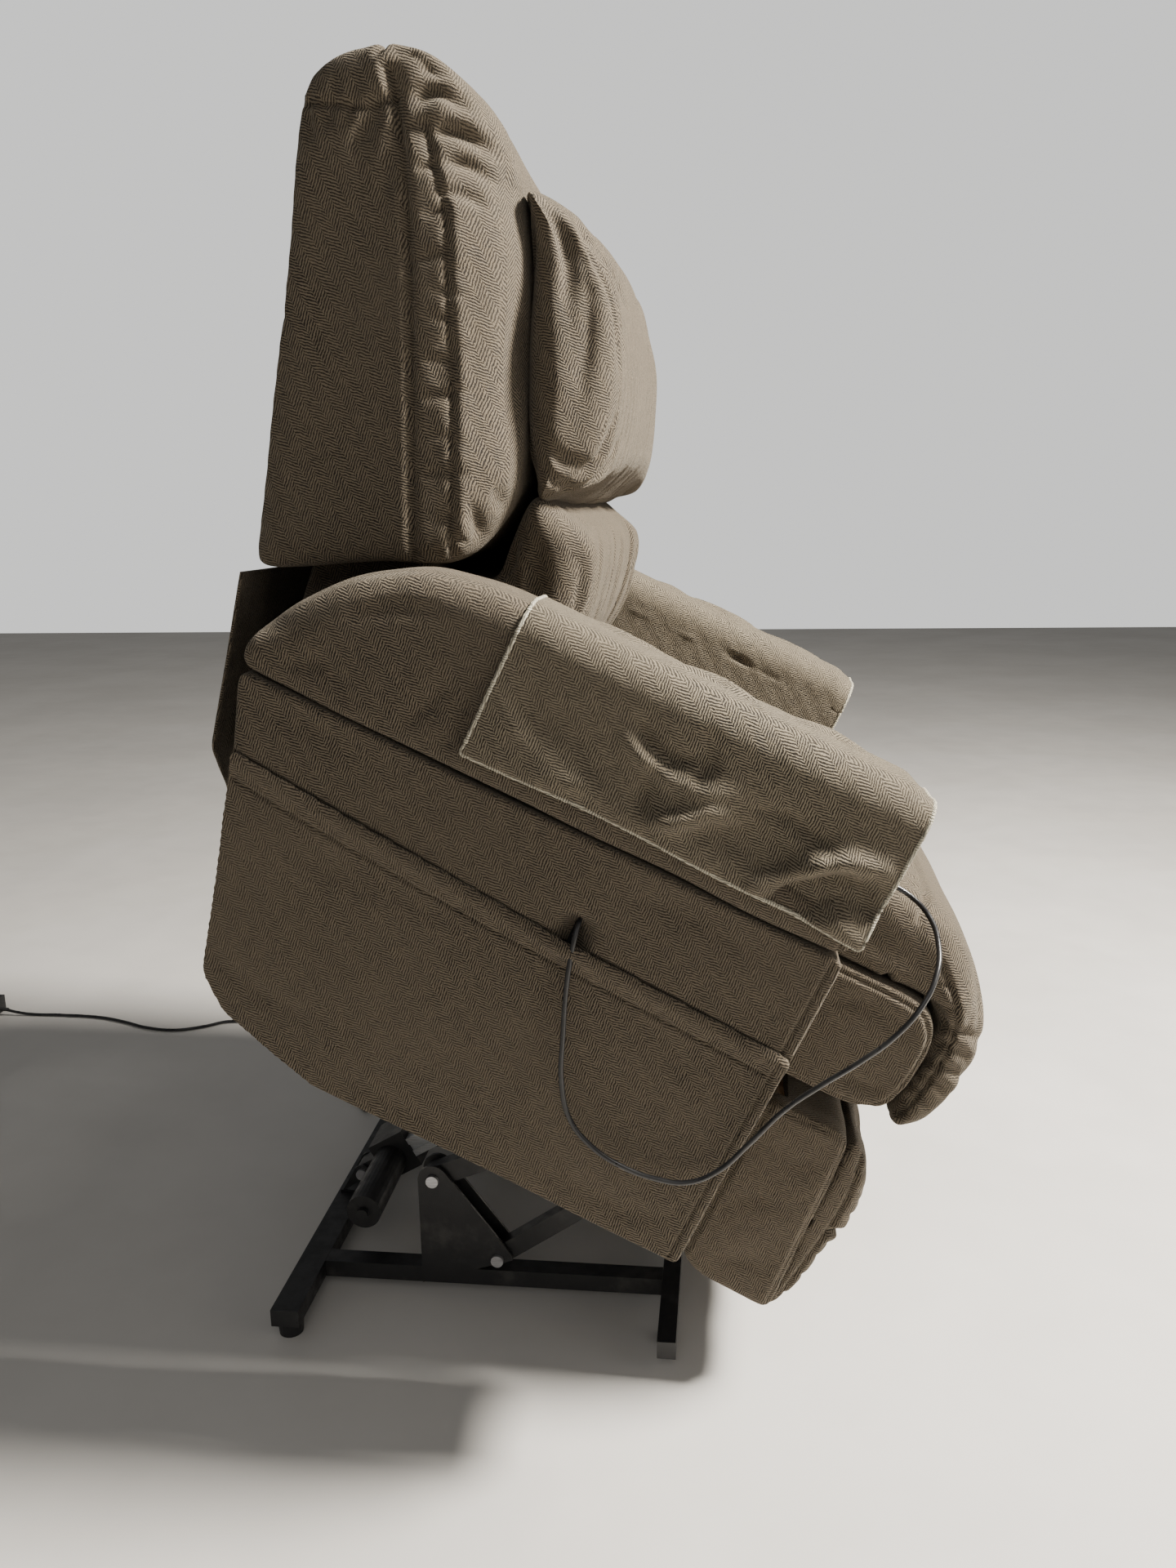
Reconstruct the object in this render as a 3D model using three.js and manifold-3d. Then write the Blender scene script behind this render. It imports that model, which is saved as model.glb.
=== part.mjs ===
// A lift recliner chair, raised and tipped forward for standing up.
// Millimetres. +X points forward out of the chair, +Y to the sitter's left, +Z up, floor at Z = 0.
// The upholstered body is drawn level, in its own group, and the group is tipped forward as one.

import * as THREE from 'three';
import { mergeVertices } from 'three/addons/utils/BufferGeometryUtils.js';
import Module from 'manifold-3d';

const wasm = await Module();
wasm.setup();

// Driving dimensions ---------------------------------------------------------------------------

const GAP = 0.3;                          // left between touching pieces
const TILT = THREE.MathUtils.degToRad(26);
const BODY_ORIGIN = [68, 264];            // X and Z of the side panel's bottom front corner

const REAR_TUBE = { x: -413, width: 36, half: 297 };
const FRONT_TUBE = { x: 73.5, width: 23, half: 311 };
const TUBE_BOTTOM = 20;
const TUBE_TOP = 43;
const CAP = 3;
const RAIL_Y = 175;
const RAIL_WIDTH = 27;

const UPPER_PIVOT = [-239, 174];          // rear lift link on the tower
const LOWER_PIVOT = [-156, 62];           // front lift link on the tower
const FRONT_LINK_LENGTH = 320;
const FRONT_LINK_ANGLE = THREE.MathUtils.degToRad(34);
const REAR_LINK_LENGTH = 357.1;
const REAR_LINK_ANGLE = THREE.MathUtils.degToRad(22);
const LINK_HALF_WIDTH = 10;
const PIN_R = 6;
const PIN_HEAD_R = 8.25;
const PLATE = 4;

const ACTUATOR_PIVOT = [-392, 75];
const DRIVE_ANGLE = THREE.MathUtils.degToRad(30);
const CARRIAGE_AT = 484.3;                // along the drive rail from the actuator's pivot
const RAIL_END = 520;

// In the tipped body's own level frame, as [forward, up].
const FRONT_LINK_EYE = [47.2, -2.6];
const REAR_LINK_EYE = [2.5, 49.9];
const CARRIAGE_EYE = [-60, 30];
const RECLINE_PIVOT = [-600, 250];
const LEG_PIVOT = [18, 125];
const LEG_LINK = 140;
const LEG_FOLDED = THREE.MathUtils.degToRad(80);

const OUTER_Y = 460;                      // outside of the arms
const INNER_Y = 345;                      // inside of the arms
const SEAT_HALF = 337;
const BACK_HALF = 405;
const ARM_SEAM = 380;
const ARM_TOP = 563;

// Materials --------------------------------------------------------------------------------------

function material(color, roughness, metalness) {
  return new THREE.MeshStandardMaterial({ color, roughness, metalness });
}

const blackSteel = () => material(0x1b1c1e, 0.45, 0.6);
const bareSteel = () => material(0xb8babd, 0.3, 1);
const aluminium = () => material(0xb4b5b3, 0.4, 0.9);
const blackPlastic = () => material(0x141414, 0.55, 0);
const greyPlastic = () => material(0x9a9c9e, 0.5, 0);
const board = () => material(0x8a6a45, 0.8, 0);
const chenille = () => material(0x63564a, 0.95, 0);
const cordJacket = () => material(0x0d0d0e, 0.5, 0);

// Geometry helpers ---------------------------------------------------------------------------------

function polygon(points) {
  return new THREE.Shape(points.map(([x, z]) => new THREE.Vector2(x, z)));
}

function softOutline(points, steps) {
  const curve = new THREE.CatmullRomCurve3(
    points.map(([x, z]) => new THREE.Vector3(x, z, 0)), true, 'centripetal');
  return polygon(curve.getPoints(steps).slice(0, -1).map((p) => [p.x, p.y]));
}

// A shape drawn in X and Z, given width along Y.
function slab(shape, yLow, yHigh, curveSegments = 8) {
  const options = { depth: yHigh - yLow, bevelEnabled: false, steps: 1, curveSegments };
  const geometry = new THREE.ExtrudeGeometry(shape, options);
  geometry.rotateX(Math.PI / 2);
  geometry.translate(0, yHigh, 0);
  return geometry;
}

function box(x, y, z) {
  const geometry = new THREE.BoxGeometry(x[1] - x[0], y[1] - y[0], z[1] - z[0]);
  geometry.translate((x[0] + x[1]) / 2, (y[0] + y[1]) / 2, (z[0] + z[1]) / 2);
  return geometry;
}

// A round bar along Y through the point [x, z].
function rod(centre, yLow, yHigh, radius, segments = 20) {
  const geometry = new THREE.CylinderGeometry(radius, radius, yHigh - yLow, segments);
  geometry.translate(centre[0], (yLow + yHigh) / 2, centre[1]);
  return geometry;
}

function foot(x, y, radius, height) {
  const geometry = new THREE.CylinderGeometry(radius, radius * 0.9, height, 20);
  geometry.rotateX(Math.PI / 2);
  geometry.translate(x, y, height / 2);
  return geometry;
}

function along(start, angle, distance) {
  return [start[0] + distance * Math.cos(angle), start[1] + distance * Math.sin(angle)];
}

// The outline of a bar with round ends about a and b.
function linkShape(a, b, radius) {
  const angle = Math.atan2(b[1] - a[1], b[0] - a[0]);
  const quarter = Math.PI / 2;
  const shape = new THREE.Shape();
  shape.absarc(a[0], a[1], radius, angle + quarter, angle - quarter, false);
  shape.absarc(b[0], b[1], radius, angle - quarter, angle + quarter, false);
  return shape;
}

// A pin along Y with a head on each end.
function headedPin(centre, yLow, yHigh) {
  const head = 5;
  const profile = [
    [0, yLow - head], [PIN_HEAD_R, yLow - head], [PIN_HEAD_R, yLow], [PIN_R, yLow],
    [PIN_R, yHigh], [PIN_HEAD_R, yHigh], [PIN_HEAD_R, yHigh + head], [0, yHigh + head],
  ];
  const geometry = new THREE.LatheGeometry(profile.map(([r, y]) => new THREE.Vector2(r, y)), 20);
  geometry.translate(centre[0], 0, centre[1]);
  return geometry;
}

function toSolid(geometry) {
  const bare = geometry.clone();
  bare.deleteAttribute('normal');
  bare.deleteAttribute('uv');
  const merged = mergeVertices(bare, 1e-4);
  return new wasm.Manifold(new wasm.Mesh({
    numProp: 3,
    vertProperties: new Float32Array(merged.attributes.position.array),
    triVerts: new Uint32Array(merged.index.array),
  }));
}

function toGeometry(solid) {
  const mesh = solid.getMesh();
  const geometry = new THREE.BufferGeometry();
  geometry.setAttribute('position', new THREE.BufferAttribute(new Float32Array(mesh.vertProperties), 3));
  geometry.setIndex(new THREE.BufferAttribute(new Uint32Array(mesh.triVerts), 1));
  geometry.computeVertexNormals();
  return geometry;
}

function join(...geometries) {
  return toGeometry(geometries.map(toSolid).reduce((whole, piece) => whole.add(piece)));
}

function cut(geometry, ...tools) {
  return toGeometry(tools.map(toSolid).reduce((whole, tool) => whole.subtract(tool), toSolid(geometry)));
}

// A plate or bar with round holes, each given as [centre, radius].
function drilled(shape, [yLow, yHigh], holes, curveSegments = 8) {
  const tools = holes.map(([centre, radius]) => rod(centre, yLow - 1, yHigh + 1, radius));
  return cut(slab(shape, yLow, yHigh, curveSegments), ...tools);
}

// A cord's plain tube through hand-placed points.
function cordTube(points, diameter, steps, sides) {
  const route = new THREE.CatmullRomCurve3(points.map((p) => new THREE.Vector3(...p)), false, 'centripetal');
  const section = new THREE.Shape();
  section.absarc(0, 0, diameter / 2, 0, 2 * Math.PI, false);
  const options = { steps, extrudePath: route, curveSegments: sides / 2, bevelEnabled: false };
  return new THREE.ExtrudeGeometry(section, options);
}

const chair = new THREE.Group();
const body = new THREE.Group();
body.position.set(BODY_ORIGIN[0], 0, BODY_ORIGIN[1]);
body.rotation.y = TILT;
chair.add(body);

function add(group, name, geometry, finish) {
  const mesh = new THREE.Mesh(geometry, finish);
  mesh.name = name;
  group.add(mesh);
}

const SIDES = [['left', 1], ['right', -1]];

// The same stretch of Y on either side of the chair.
function mirrored(side, low, high) {
  return side > 0 ? [low, high] : [-high, -low];
}

// Base ------------------------------------------------------------------------------------------

function addCrossTube(name, tube, glideY, glideR) {
  const x = [tube.x - tube.width / 2, tube.x + tube.width / 2];
  const end = tube.half - CAP - GAP;
  add(chair, `base_${name}_tube`, box(x, [-end, end], [TUBE_BOTTOM, TUBE_TOP]), blackSteel());
  for (const [label, side] of SIDES) {
    const cap = mirrored(side, tube.half - CAP, tube.half);
    add(chair, `${name}_end_cap_${label}`, box(x, cap, [TUBE_BOTTOM, TUBE_TOP]), blackPlastic());
    const glide = foot(tube.x, side * glideY, glideR, TUBE_BOTTOM - GAP);
    add(chair, `${name}_glide_${label}`, glide, blackPlastic());
  }
}

function towerPlate() {
  const reach = 20;
  const slope = Math.atan2(UPPER_PIVOT[1] - LOWER_PIVOT[1], LOWER_PIVOT[0] - UPPER_PIVOT[0]);
  const normal = Math.PI / 2 - slope;
  const shape = new THREE.Shape();
  shape.moveTo(LOWER_PIVOT[0] + reach, TUBE_BOTTOM + 2);
  shape.absarc(LOWER_PIVOT[0], LOWER_PIVOT[1], reach, 0, normal, false);
  shape.absarc(UPPER_PIVOT[0], UPPER_PIVOT[1], reach, normal, Math.PI, false);
  shape.lineTo(UPPER_PIVOT[0] - reach, TUBE_BOTTOM + 2);
  return shape;
}

function addTower(label, side) {
  const inner = RAIL_Y - RAIL_WIDTH / 2 - GAP;
  const outer = RAIL_Y + RAIL_WIDTH / 2 + GAP;
  const rearX = UPPER_PIVOT[0] - 20;
  const web = box([rearX, rearX + PLATE], mirrored(side, inner - PLATE, outer + PLATE), [TUBE_TOP + GAP, 150]);
  const plates = [mirrored(side, inner - PLATE, inner), mirrored(side, outer, outer + PLATE)];
  const holes = [UPPER_PIVOT, LOWER_PIVOT].map((pivot) => [pivot, PIN_R + GAP]);
  const [first, second] = plates.map((y) => drilled(towerPlate(), y, holes, 12));
  add(chair, `tower_${label}`, join(first, second, web), blackSteel());
  const pinY = mirrored(side, inner - PLATE - GAP, outer + PLATE + GAP);
  add(chair, `upper_pivot_pin_${label}`, headedPin(UPPER_PIVOT, ...pinY), bareSteel());
  add(chair, `lower_pivot_pin_${label}`, headedPin(LOWER_PIVOT, ...pinY), bareSteel());
}

function addBase() {
  addCrossTube('rear', REAR_TUBE, 276, 17);
  addCrossTube('front', FRONT_TUBE, 250, 11);
  const railX = [REAR_TUBE.x + REAR_TUBE.width / 2 + GAP, FRONT_TUBE.x - FRONT_TUBE.width / 2 - GAP];
  for (const [label, side] of SIDES) {
    const railY = mirrored(side, RAIL_Y - RAIL_WIDTH / 2, RAIL_Y + RAIL_WIDTH / 2);
    add(chair, `base_rail_${label}`, box(railX, railY, [TUBE_BOTTOM, TUBE_TOP]), blackSteel());
    addTower(label, side);
  }
}

// Lift linkage ----------------------------------------------------------------------------------

function addLiftLinks() {
  const frontEnd = along(LOWER_PIVOT, FRONT_LINK_ANGLE, FRONT_LINK_LENGTH);
  const rearEnd = along(UPPER_PIVOT, REAR_LINK_ANGLE, REAR_LINK_LENGTH);
  const inner = RAIL_Y - LINK_HALF_WIDTH;
  const outer = RAIL_Y + LINK_HALF_WIDTH;
  const looseHole = 10.5;
  for (const [label, side] of SIDES) {
    const y = mirrored(side, inner, outer);
    const frontHoles = [[LOWER_PIVOT, PIN_R + GAP], [frontEnd, PIN_R + GAP]];
    const front = drilled(linkShape(LOWER_PIVOT, frontEnd, 12.5), y, frontHoles);
    add(chair, `front_lift_link_${label}`, front, blackSteel());
    const rearHoles = [[UPPER_PIVOT, PIN_R + GAP], [rearEnd, looseHole]];
    const rear = drilled(linkShape(UPPER_PIVOT, rearEnd, 14), y, rearHoles);
    add(chair, `rear_lift_link_${label}`, rear, blackSteel());
  }
  const tubeAt = along(LOWER_PIVOT, FRONT_LINK_ANGLE, 140);
  add(chair, 'lift_torque_tube', rod(tubeAt, -(inner - GAP), inner - GAP, 12), blackSteel());
}

// Drive -----------------------------------------------------------------------------------------

const drive = new THREE.Group();
drive.position.set(ACTUATOR_PIVOT[0], 0, ACTUATOR_PIVOT[1]);
drive.rotation.y = -DRIVE_ANGLE;
chair.add(drive);

const DRIVE_RAIL_HALF = 17;
const DRIVE_RAIL_DEPTH = 15;

function clevisEar() {
  const foot = TUBE_TOP + GAP;
  const shape = new THREE.Shape();
  shape.moveTo(ACTUATOR_PIVOT[0] - 4, foot);
  shape.absarc(ACTUATOR_PIVOT[0], ACTUATOR_PIVOT[1], 13, 0, Math.PI * 0.8, false);
  shape.lineTo(REAR_TUBE.x - 12, foot);
  return shape;
}

function addClevis() {
  const foot = box([REAR_TUBE.x - 14, REAR_TUBE.x + 17], [-21, 21], [TUBE_TOP + GAP, TUBE_TOP + PLATE]);
  const hole = [ACTUATOR_PIVOT, PIN_R + GAP];
  const ears = [[-21, -17], [17, 21]].map((y) => drilled(clevisEar(), y, [hole], 12));
  add(chair, 'actuator_clevis', join(foot, ...ears), blackSteel());
  add(chair, 'clevis_pin', headedPin(ACTUATOR_PIVOT, -21 - GAP, 21 + GAP), bareSteel());
}

// The extruded rail: a flat bar with shallow grooves along its sides.
function driveRailSection() {
  const [w, d] = [DRIVE_RAIL_HALF, DRIVE_RAIL_DEPTH];
  return polygon([
    [-w, -d], [w, -d], [w, -5], [w - 3, -5], [w - 3, 5], [w, 5], [w, d], [6, d], [6, d - 5], [-6, d - 5],
    [-6, d], [-w, d], [-w, 5], [-w + 3, 5], [-w + 3, -5], [-w, -5],
  ]);
}

function driveRail(start, end) {
  const options = { depth: end - start, bevelEnabled: false, steps: 1 };
  const geometry = new THREE.ExtrudeGeometry(driveRailSection(), options);
  geometry.rotateX(Math.PI / 2);
  geometry.rotateZ(-Math.PI / 2);
  geometry.rotateX(Math.PI);
  geometry.computeBoundingBox();
  geometry.translate(start - geometry.boundingBox.min.x, 0, 0);
  return geometry;
}

function addDrive() {
  const gearboxStart = 28;
  const motorAt = [47.5, -3];
  const gearboxEnd = 86;
  const lug = drilled(linkShape([0, 0], [gearboxStart + 4, 0], 11), [-15.5, 15.5], [[[0, 0], PIN_R + GAP]]);
  const housing = box([gearboxStart, gearboxEnd], [-16, 54], [-31, 29]);
  add(drive, 'gearbox', join(lug, housing), blackPlastic());
  const motor = join(rod(motorAt, -152, -16 - GAP, 24, 28), rod(motorAt, -160, -151, 8, 16));
  add(drive, 'motor', motor, blackSteel());
  add(drive, 'drive_rail', driveRail(gearboxEnd + GAP, RAIL_END), aluminium());
  addCarriage();
}

function addCarriage() {
  const at = [CARRIAGE_AT, 0];
  const clear = 1;
  const block = box([CARRIAGE_AT - 30, CARRIAGE_AT + 30], [-27, 27], [-22, 22]);
  const bore = box(
    [CARRIAGE_AT - 40, CARRIAGE_AT + 40],
    [-DRIVE_RAIL_HALF - clear, DRIVE_RAIL_HALF + clear],
    [-DRIVE_RAIL_DEPTH - clear, DRIVE_RAIL_DEPTH + clear]);
  const trunnions = [rod(at, -40, -26, PIN_R), rod(at, 26, 40, PIN_R)];
  add(drive, 'drive_carriage', join(cut(block, bore), ...trunnions), blackPlastic());
}

// Seat frame ------------------------------------------------------------------------------------

const FRAME_PLATE_Y = [202, 208];
const FRAME_TOP = 150;

function framePlate() {
  const rear = -450;
  const eye = 16;
  const shape = new THREE.Shape();
  shape.moveTo(rear, FRAME_TOP + 1);
  shape.lineTo(rear, 82);
  shape.lineTo(-60, 82);
  shape.lineTo(-16, 40);
  shape.absarc(FRONT_LINK_EYE[0], FRONT_LINK_EYE[1], eye, Math.PI * 1.15, 2 * Math.PI, false);
  shape.lineTo(FRONT_LINK_EYE[0] + eye, FRAME_TOP + 1);
  return shape;
}

function crossbar(u, w, half) {
  return box([u - 12.5, u + 12.5], [-half, half], [w, w + 25]);
}

function legBracket(side) {
  const y = mirrored(side, 292, 297);
  const tab = slab(linkShape([LEG_PIVOT[0], 155], LEG_PIVOT, 9), ...y);
  return join(tab, rod(LEG_PIVOT, ...mirrored(side, 284.8, 293), 5));
}

function addSeatFrame() {
  const half = INNER_Y - GAP;
  const [plateIn, plateOut] = FRAME_PLATE_Y;
  const studStart = RAIL_Y - LINK_HALF_WIDTH;
  const pieces = [crossbar(3, FRAME_TOP, half), crossbar(-430, FRAME_TOP, half), crossbar(-60, 86, plateIn + 1)];
  for (const [, side] of SIDES) {
    pieces.push(slab(framePlate(), ...mirrored(side, plateIn, plateOut)));
    pieces.push(rod(FRONT_LINK_EYE, ...mirrored(side, studStart, plateIn + 1), PIN_R));
    pieces.push(rod(REAR_LINK_EYE, ...mirrored(side, studStart, plateIn + 1), PIN_R));
    pieces.push(legBracket(side));
    const fork = linkShape([CARRIAGE_EYE[0], 92], CARRIAGE_EYE, 20);
    pieces.push(drilled(fork, mirrored(side, 31, 36), [[CARRIAGE_EYE, 14]]));
  }
  add(body, 'seat_frame', join(...pieces), blackSteel());
}

// Upholstered body ------------------------------------------------------------------------------

const HANDSET = { u: [-250, -200], w: [105, 265], y: [-453, -429] };

function sidePanelOutline() {
  return polygon([
    [28, 0], [28, ARM_SEAM], [-638, ARM_SEAM], [-612, 304], [-584, 185], [-556, 65], [-520, 34], [-456, 15],
    [-400, 0],
  ]);
}

function pocketOutline(grow) {
  return polygon([
    [28 + grow, -grow], [28 + grow, 264 + grow], [-612 - grow, 303 + grow], [-584 - grow, 185],
    [-556 - grow, 65 - grow], [-520 - grow, 34 - grow], [-456, 15 - grow], [-400, -grow],
  ]);
}

function addSidePanels() {
  for (const [label, side] of SIDES) {
    const y = mirrored(side, INNER_Y, OUTER_Y);
    const hole = rod(RECLINE_PIVOT, ...mirrored(side, INNER_Y - 1, INNER_Y + 18), 10.5);
    const tools = [hole];
    if (side < 0) {
      tools.push(slab(pocketOutline(1), -OUTER_Y - 1, -OUTER_Y + 5 + GAP));
      tools.push(box([HANDSET.u[0] - 2, HANDSET.u[1] + 2], [-OUTER_Y - 1, -427], [HANDSET.w[0] - 2, 305]));
    }
    add(body, `side_panel_${label}`, cut(slab(sidePanelOutline(), ...y), ...tools), chenille());
  }
  add(body, 'pocket_panel', slab(pocketOutline(0), -OUTER_Y, -OUTER_Y + 5), chenille());
}

function addArms() {
  const outline = polygon([
    [28, ARM_SEAM + GAP], [28, 545], [8, ARM_TOP], [-440, ARM_TOP], [-510, 548], [-570, 508], [-620, 455],
    [-645, 409], [-638, ARM_SEAM + GAP],
  ]);
  for (const [label, side] of SIDES) {
    add(body, `arm_pad_${label}`, slab(outline, ...mirrored(side, INNER_Y, OUTER_Y)), chenille());
    addArmCover(label, side);
  }
}

// The cover lies over the arm as an upturned channel.
function addArmCover(label, side) {
  const thick = 3;
  const u = [-400, 27];
  const outerFlap = box(u, mirrored(side, OUTER_Y + GAP, OUTER_Y + thick), [404, ARM_TOP + 1]);
  const innerFlap = box(u, mirrored(side, INNER_Y - thick, INNER_Y - GAP), [455, ARM_TOP + 1]);
  const topY = mirrored(side, INNER_Y - thick, OUTER_Y + thick);
  const top = box(u, topY, [ARM_TOP + GAP, ARM_TOP + thick]);
  const cover = join(outerFlap, innerFlap, top);
  add(body, `arm_cover_${label}`, cover, chenille());
}

function addSeat() {
  const boxTop = 340;
  add(body, 'seat_box', box([-420, 190], [-SEAT_HALF, SEAT_HALF], [192, boxTop]), chenille());
  const outline = polygon([
    [-400, boxTop + GAP], [-400, 430], [-300, 440], [80, 438], [160, 424], [207, 379], [244.5, 327], [238, 250],
    [205, 187], [190 + GAP, 192], [190 + GAP, boxTop + GAP],
  ]);
  add(body, 'seat_cushion', slab(outline, -SEAT_HALF, SEAT_HALF), chenille());
}

function addHandset() {
  const { u, w, y } = HANDSET;
  const shell = box(u, y, w);
  const middle = (u[0] + u[1]) / 2;
  const wells = [];
  for (const [name, height] of [['up', 225], ['down', 190]]) {
    const key = { u: [middle - 10, middle + 10], w: [height - 10, height + 10] };
    const grown = [[key.u[0] - 0.5, key.u[1] + 0.5], [key.w[0] - 0.5, key.w[1] + 0.5]];
    wells.push(box(grown[0], [y[1] - 5, y[1] + 1], grown[1]));
    add(body, `${name}_button`, box(key.u, [y[1] - 3, y[1] + 1], key.w), greyPlastic());
  }
  add(body, 'handset', cut(shell, ...wells), blackPlastic());
}

// Backrest --------------------------------------------------------------------------------------

function addBackrest() {
  const upper = softOutline([
    [-675, 474], [-735, 675], [-793, 872], [-785, 925], [-746, 956], [-692, 975], [-632, 950], [-552, 857],
    [-506, 756], [-462, 649], [-473, 570], [-532, 543],
  ], 36);
  const lower = polygon([[-650, 520], [-622, 232], [-578, 232], [-520, 440], [-520, 560], [-600, 620]]);
  const stubs = SIDES.map(([, side]) => rod(RECLINE_PIVOT, ...mirrored(side, 330, 361), 10));
  const shell = join(slab(upper, -BACK_HALF, BACK_HALF), slab(lower, -335, 335), ...stubs);
  add(body, 'backrest', shell, chenille());

  const pillow = polygon([
    [-582, 914], [-545, 918], [-490, 880], [-440, 800], [-412, 670], [-425, 638], [-447, 652], [-484, 757],
    [-531, 859],
  ]);
  add(body, 'upper_pillow', slab(pillow, -SEAT_HALF + 7, SEAT_HALF - 7), chenille());

  const lumbar = polygon([
    [-450, 630], [-424, 625], [-384, 607], [-366, 540], [-372, 470], [-395, 443], [-450, 448], [-508, 470],
    [-508, 530], [-462, 545], [-452, 600],
  ]);
  add(body, 'lumbar_cushion', slab(lumbar, -SEAT_HALF + 7, SEAT_HALF - 7), chenille());
  addBackFlap();
}

function addBackFlap() {
  const wide = polygon([[-687, 455], [-643, 256], [-639, 256], [-683, 455]]);
  const narrow = polygon([[-643, 258], [-600, 110], [-596, 110], [-639, 258]]);
  const flap = join(slab(wide, -BACK_HALF + 5, BACK_HALF - 5), slab(narrow, -SEAT_HALF, SEAT_HALF));
  add(body, 'back_flap', flap, chenille());
}

// Legrest ---------------------------------------------------------------------------------------

function addLegrest() {
  const elbow = along(LEG_PIVOT, -LEG_FOLDED, LEG_LINK);
  const hinge = along(elbow, LEG_FOLDED, LEG_LINK);
  const eye = 9;
  const stud = 5;
  const pieces = [box([80, 92], [-325, 325], [-70, 148])];
  for (const [label, side] of SIDES) {
    const hole = stud + GAP;
    const inner = drilled(linkShape(LEG_PIVOT, elbow, eye), mirrored(side, 285, 290.5), [[LEG_PIVOT, hole]]);
    const elbowStud = rod(elbow, ...mirrored(side, 279, 286), stud);
    add(body, `legrest_rear_link_${label}`, join(inner, elbowStud), blackSteel());
    const outerHoles = [[elbow, hole], [hinge, hole]];
    const outer = drilled(linkShape(elbow, hinge, eye), mirrored(side, 279, 284.5), outerHoles);
    add(body, `legrest_front_link_${label}`, outer, blackSteel());
    pieces.push(slab(linkShape([82, hinge[1]], hinge, eye), ...mirrored(side, 273, 278.5)));
    pieces.push(rod(hinge, ...mirrored(side, 278, 284.5), stud));
  }
  add(body, 'legrest_board', join(...pieces), board());
  const pad = polygon([
    [92 + GAP, -70], [92 + GAP, 150], [105, 155], [145, 155], [185, 143], [210, 100], [212, 60], [205, 20],
    [182, -72], [150, -84], [110, -82],
  ]);
  add(body, 'legrest_pad', slab(pad, -328, 328), chenille());
}

// Cords -----------------------------------------------------------------------------------------

const HANDSET_CORD = 5.5;
const POWER_CORD = 6;
const MAINS_CORD = 7;

// In the tipped body's own frame, from the arm's front to the handset's top.
const handsetCordRoute = [
  [36.5, -362, 448], [56, -363, 449], [78, -369, 447], [96, -388, 441], [107, -420, 428], [111, -450, 408],
  [108, -470, 377], [98, -476, 338], [80, -478, 299], [60, -478, 262], [40, -478, 220], [26, -478, 170],
  [12, -478, 128], [-9, -478, 102], [-40, -478, 90], [-79, -478, 86], [-115, -478, 92], [-145, -478, 108],
  [-171, -477, 143], [-189, -474, 185], [-205, -471, 225], [-217, -468, 262], [-224, -462, 290],
  [-225, -450, 297], [-225, -442, 288], [-225, -441, 265.5],
];

// On the floor, from the rear tube's clip to the power supply.
const powerLeadRoute = [
  [-436.5, 276, 30], [-452, 277, 29], [-468, 282, 20], [-481, 292, 8], [-495, 307, 3.7], [-530, 362, 3.7],
  [-580, 440, 3.7], [-650, 522, 3.7], [-740, 600, 3.7], [-820, 645, 3.7], [-885, 652, 3.7], [-930, 622, 3.7],
  [-977, 602, 3.7], [-1040, 607, 3.7], [-1110, 634, 3.7], [-1165, 650, 3.7], [-1259, 656, 3.7],
  [-1330, 655, 4], [-1364, 654, 9], [-1384, 654, 13.2], [-1399.4, 654, 14],
];

const SUPPLY = { x: [-1540, -1400.3], y: [624, 684], z: [0.5, 34] };
const COIL = { x: -1620, y: 585, middle: 36, half: 11.5, height: 15.5 };

const mainsLeadRoute = [
  [-1540.9, 654, 14], [-1556, 654, 12.6], [-1574, 651, 7], [-1588, 646, 4.6], [-1599, 641, 4.2],
  [-1609, 637.8, 4.2],
];

function addCords() {
  add(body, 'handset_cord', cordTube(handsetCordRoute, HANDSET_CORD, 70, 8), cordJacket());
  const grommet = new THREE.CylinderGeometry(6, 7.5, 8, 16);
  grommet.rotateZ(-Math.PI / 2);
  grommet.translate(28 + GAP + 4, -362, 448);
  add(body, 'handset_cord_grommet', grommet, blackPlastic());
  add(chair, 'power_lead', cordTube(powerLeadRoute, POWER_CORD, 80, 8), cordJacket());
  const clip = box([-436, -431 - GAP], [269, 283], [22, 38]);
  add(chair, 'power_lead_clip', clip, blackPlastic());
  const supply = box(SUPPLY.x, SUPPLY.y, SUPPLY.z);
  add(chair, 'power_supply', supply, blackPlastic());
  add(chair, 'mains_lead', cordTube(mainsLeadRoute, MAINS_CORD, 12, 8), cordJacket());
  addMainsCoil();
  addPlug();
}

function addMainsCoil() {
  const [low, high] = [COIL.middle - COIL.half, COIL.middle + COIL.half];
  const profile = [[low, 0], [high, 0], [high, COIL.height], [low, COIL.height], [low, 0]];
  const ring = new THREE.LatheGeometry(profile.map(([r, y]) => new THREE.Vector2(r, y)), 28);
  ring.rotateX(Math.PI / 2);
  ring.translate(COIL.x, COIL.y, 0.3);
  add(chair, 'mains_coil', ring, cordJacket());
}

function addPlug() {
  const grip = box([-1592, -1552], [506, 534], [0.5, 24.5]);
  const blades = [512.5, 526].map((y) => box([-1553, -1534], [y, y + 1.5], [9, 15.5]));
  add(chair, 'mains_plug', join(grip, ...blades), blackPlastic());
}

addBase();
addLiftLinks();
addClevis();
addDrive();
addSeatFrame();
addSidePanels();
addArms();
addSeat();
addHandset();
addBackrest();
addLegrest();
addCords();

export default chair;
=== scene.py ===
"""A power lift recliner, raised and tipped forward on its lift base: materials, soft pieces, cords, light."""
import math
import random

import bmesh
import bpy
import numpy as np
from mathutils import Matrix, Vector


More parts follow.
